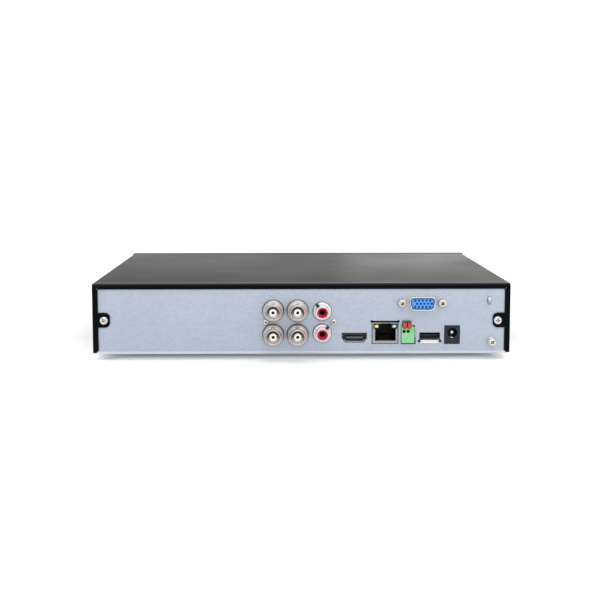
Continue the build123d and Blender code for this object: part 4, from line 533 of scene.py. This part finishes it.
# ---------------------------------------------------------------- floor, light and camera
def floor_white():
    """White paper with painted light in the recorder's shadow and beside its rear corners, and a
    brighter distance.
    """
    n = Surface("floor_white")
    along, aside = n.along("Y"), n.maths("ABSOLUTE", n.along("X"))
    away = n.vector_maths("LENGTH", n.place).outputs["Value"]
    distant = n.span(away, 0.09, 0.7, 0.40, 1.6)
    # painted light on the floor in under the panel's edge
    painted_light_under_edge = n.product(
        n.span(along, 0.26, 0.0, -100.5 * MM, -88.5 * MM),
        n.span(along, 0.0, 1.0, -108.0 * MM, -99.0 * MM),
        n.span(aside, 1.0, 0.0, 110.0 * MM, 124.0 * MM),
    )
    # and painted light on the floor beside the rear corners
    painted_light_at_corners = n.product(
        n.span(aside, 0.0, 0.32, 121.0 * MM, 130.0 * MM),
        n.span(aside, 1.0, 0.0, 140.0 * MM, 200.0 * MM),
        n.span(along, 1.0, 0.0, -90.0 * MM, -10.0 * MM),
    )
    n.surface(
        Base_Color=n.blend(n.noise(30.0, 4.0), shade(WHITE, 0.745), shade(WHITE, 0.765)),
        Roughness=0.9,
        Specular_IOR_Level=0.0,
        Emission_Color=WHITE,
        Emission_Strength=n.maths("ADD", distant, n.maths("ADD", painted_light_under_edge, painted_light_at_corners)),
    )
    return n.material


FLOOR_SIZE = 20.0
floor_mesh = bpy.data.meshes.new("floor")
floor_build = bmesh.new()
bmesh.ops.create_grid(floor_build, x_segments=1, y_segments=1, size=FLOOR_SIZE)
floor_build.to_mesh(floor_mesh)
floor_build.free()
floor_mesh.materials.append(floor_white())
floor = bpy.data.objects.new("floor", floor_mesh)
scene.collection.objects.link(floor)

# a room that is brightest overhead and on the camera's side
HORIZON, ZENITH = 0.85, 1.05
CAMERA_SIDE, FAR_SIDE = 1.0, 0.35
BACKDROP = 1.6  # what the camera sees past the floor
world = bpy.data.worlds.new("studio")
scene.world = world
world.use_nodes = True
room = Nodes(world.node_tree)
direction = room.add("ShaderNodeTexCoord").outputs["Generated"]
overhead = room.span(room.part(direction, "Z"), HORIZON, ZENITH, 0.05, 0.90, "SMOOTHSTEP")
sides = room.span(room.part(direction, "Y"), CAMERA_SIDE, FAR_SIDE, -0.6, 0.9, "SMOOTHSTEP")
seen = room.add("ShaderNodeMix")
room.put(seen.inputs["Factor"], room.add("ShaderNodeLightPath").outputs["Is Camera Ray"])
room.put(seen.inputs["A"], room.product(overhead, sides))
room.put(seen.inputs["B"], BACKDROP)
background = world.node_tree.nodes["Background"]
room.put(background.inputs["Color"], WHITE)
room.put(background.inputs["Strength"], seen.outputs["Result"])


def softbox(name, place, target, size, watts, colour=WHITE):
    """A rectangular area light at place, facing target, that the camera doesn't see."""
    light = bpy.data.lights.new(name, "AREA")
    light.shape = "RECTANGLE"
    light.size, light.size_y = size
    light.energy = watts
    light.color = colour
    lamp = bpy.data.objects.new(name, light)
    scene.collection.objects.link(lamp)
    lamp.location = place
    lamp.rotation_euler = (Vector(target) - Vector(place)).to_track_quat("-Z", "Y").to_euler()
    lamp.visible_camera = False


WARM = (1.0, 0.975, 0.955)
softbox("key", (0.0, -1.15, 1.3), (0.0, -0.1, 0.0), (1.5, 0.7), 13.3)
softbox("front", (0.12, -1.6, 0.36), (0.0, -0.1, 0.02), (0.9, 0.4), 4.7)
softbox("top", (0.1, 0.1, 1.3), (0.0, 0.0, 0.02), (1.2, 0.8), 4.5)
softbox("left", (-1.3, -0.1, 0.45), (0.0, 0.0, 0.02), (0.9, 0.5), 2.5)
softbox("right", (1.3, -0.1, 0.45), (0.0, 0.0, 0.02), (0.9, 0.5), 2.5)
softbox("rim", (0.0, 1.0, 0.55), (0.0, 0.0, 0.05), (1.6, 0.3), 1.5, WARM)
softbox("back_strip", (0.0, 0.36, 0.085), (0.0, 0.0, 0.06), (1.5, 0.07), 0.56, WARM)
softbox("back_right", (0.34, 0.42, 0.11), (0.15, 0.0, 0.05), (0.62, 0.12), 0.30, WARM)

camera_data = bpy.data.cameras.new("camera")
camera_data.sensor_width = 36.0
camera_data.lens = 73.57
camera = bpy.data.objects.new("camera", camera_data)
scene.collection.objects.link(camera)
scene.camera = camera
CAMERA_PLACE = Vector((-9.92, -864.25, 132.66)) * MM
CAMERA_PITCH, CAMERA_YAW, CAMERA_ROLL = (math.radians(a) for a in (-7.107, 0.672, 0.047))
turned = Matrix.Rotation(-CAMERA_YAW, 4, "Z")
tilted = Matrix.Rotation(math.pi / 2 + CAMERA_PITCH, 4, "X")
rolled = Matrix.Rotation(-CAMERA_ROLL, 4, "Z")
camera.matrix_world = Matrix.Translation(CAMERA_PLACE) @ turned @ tilted @ rolled
camera_data.clip_start, camera_data.clip_end = 0.01, 60.0
scene.view_settings.view_transform = "Standard"
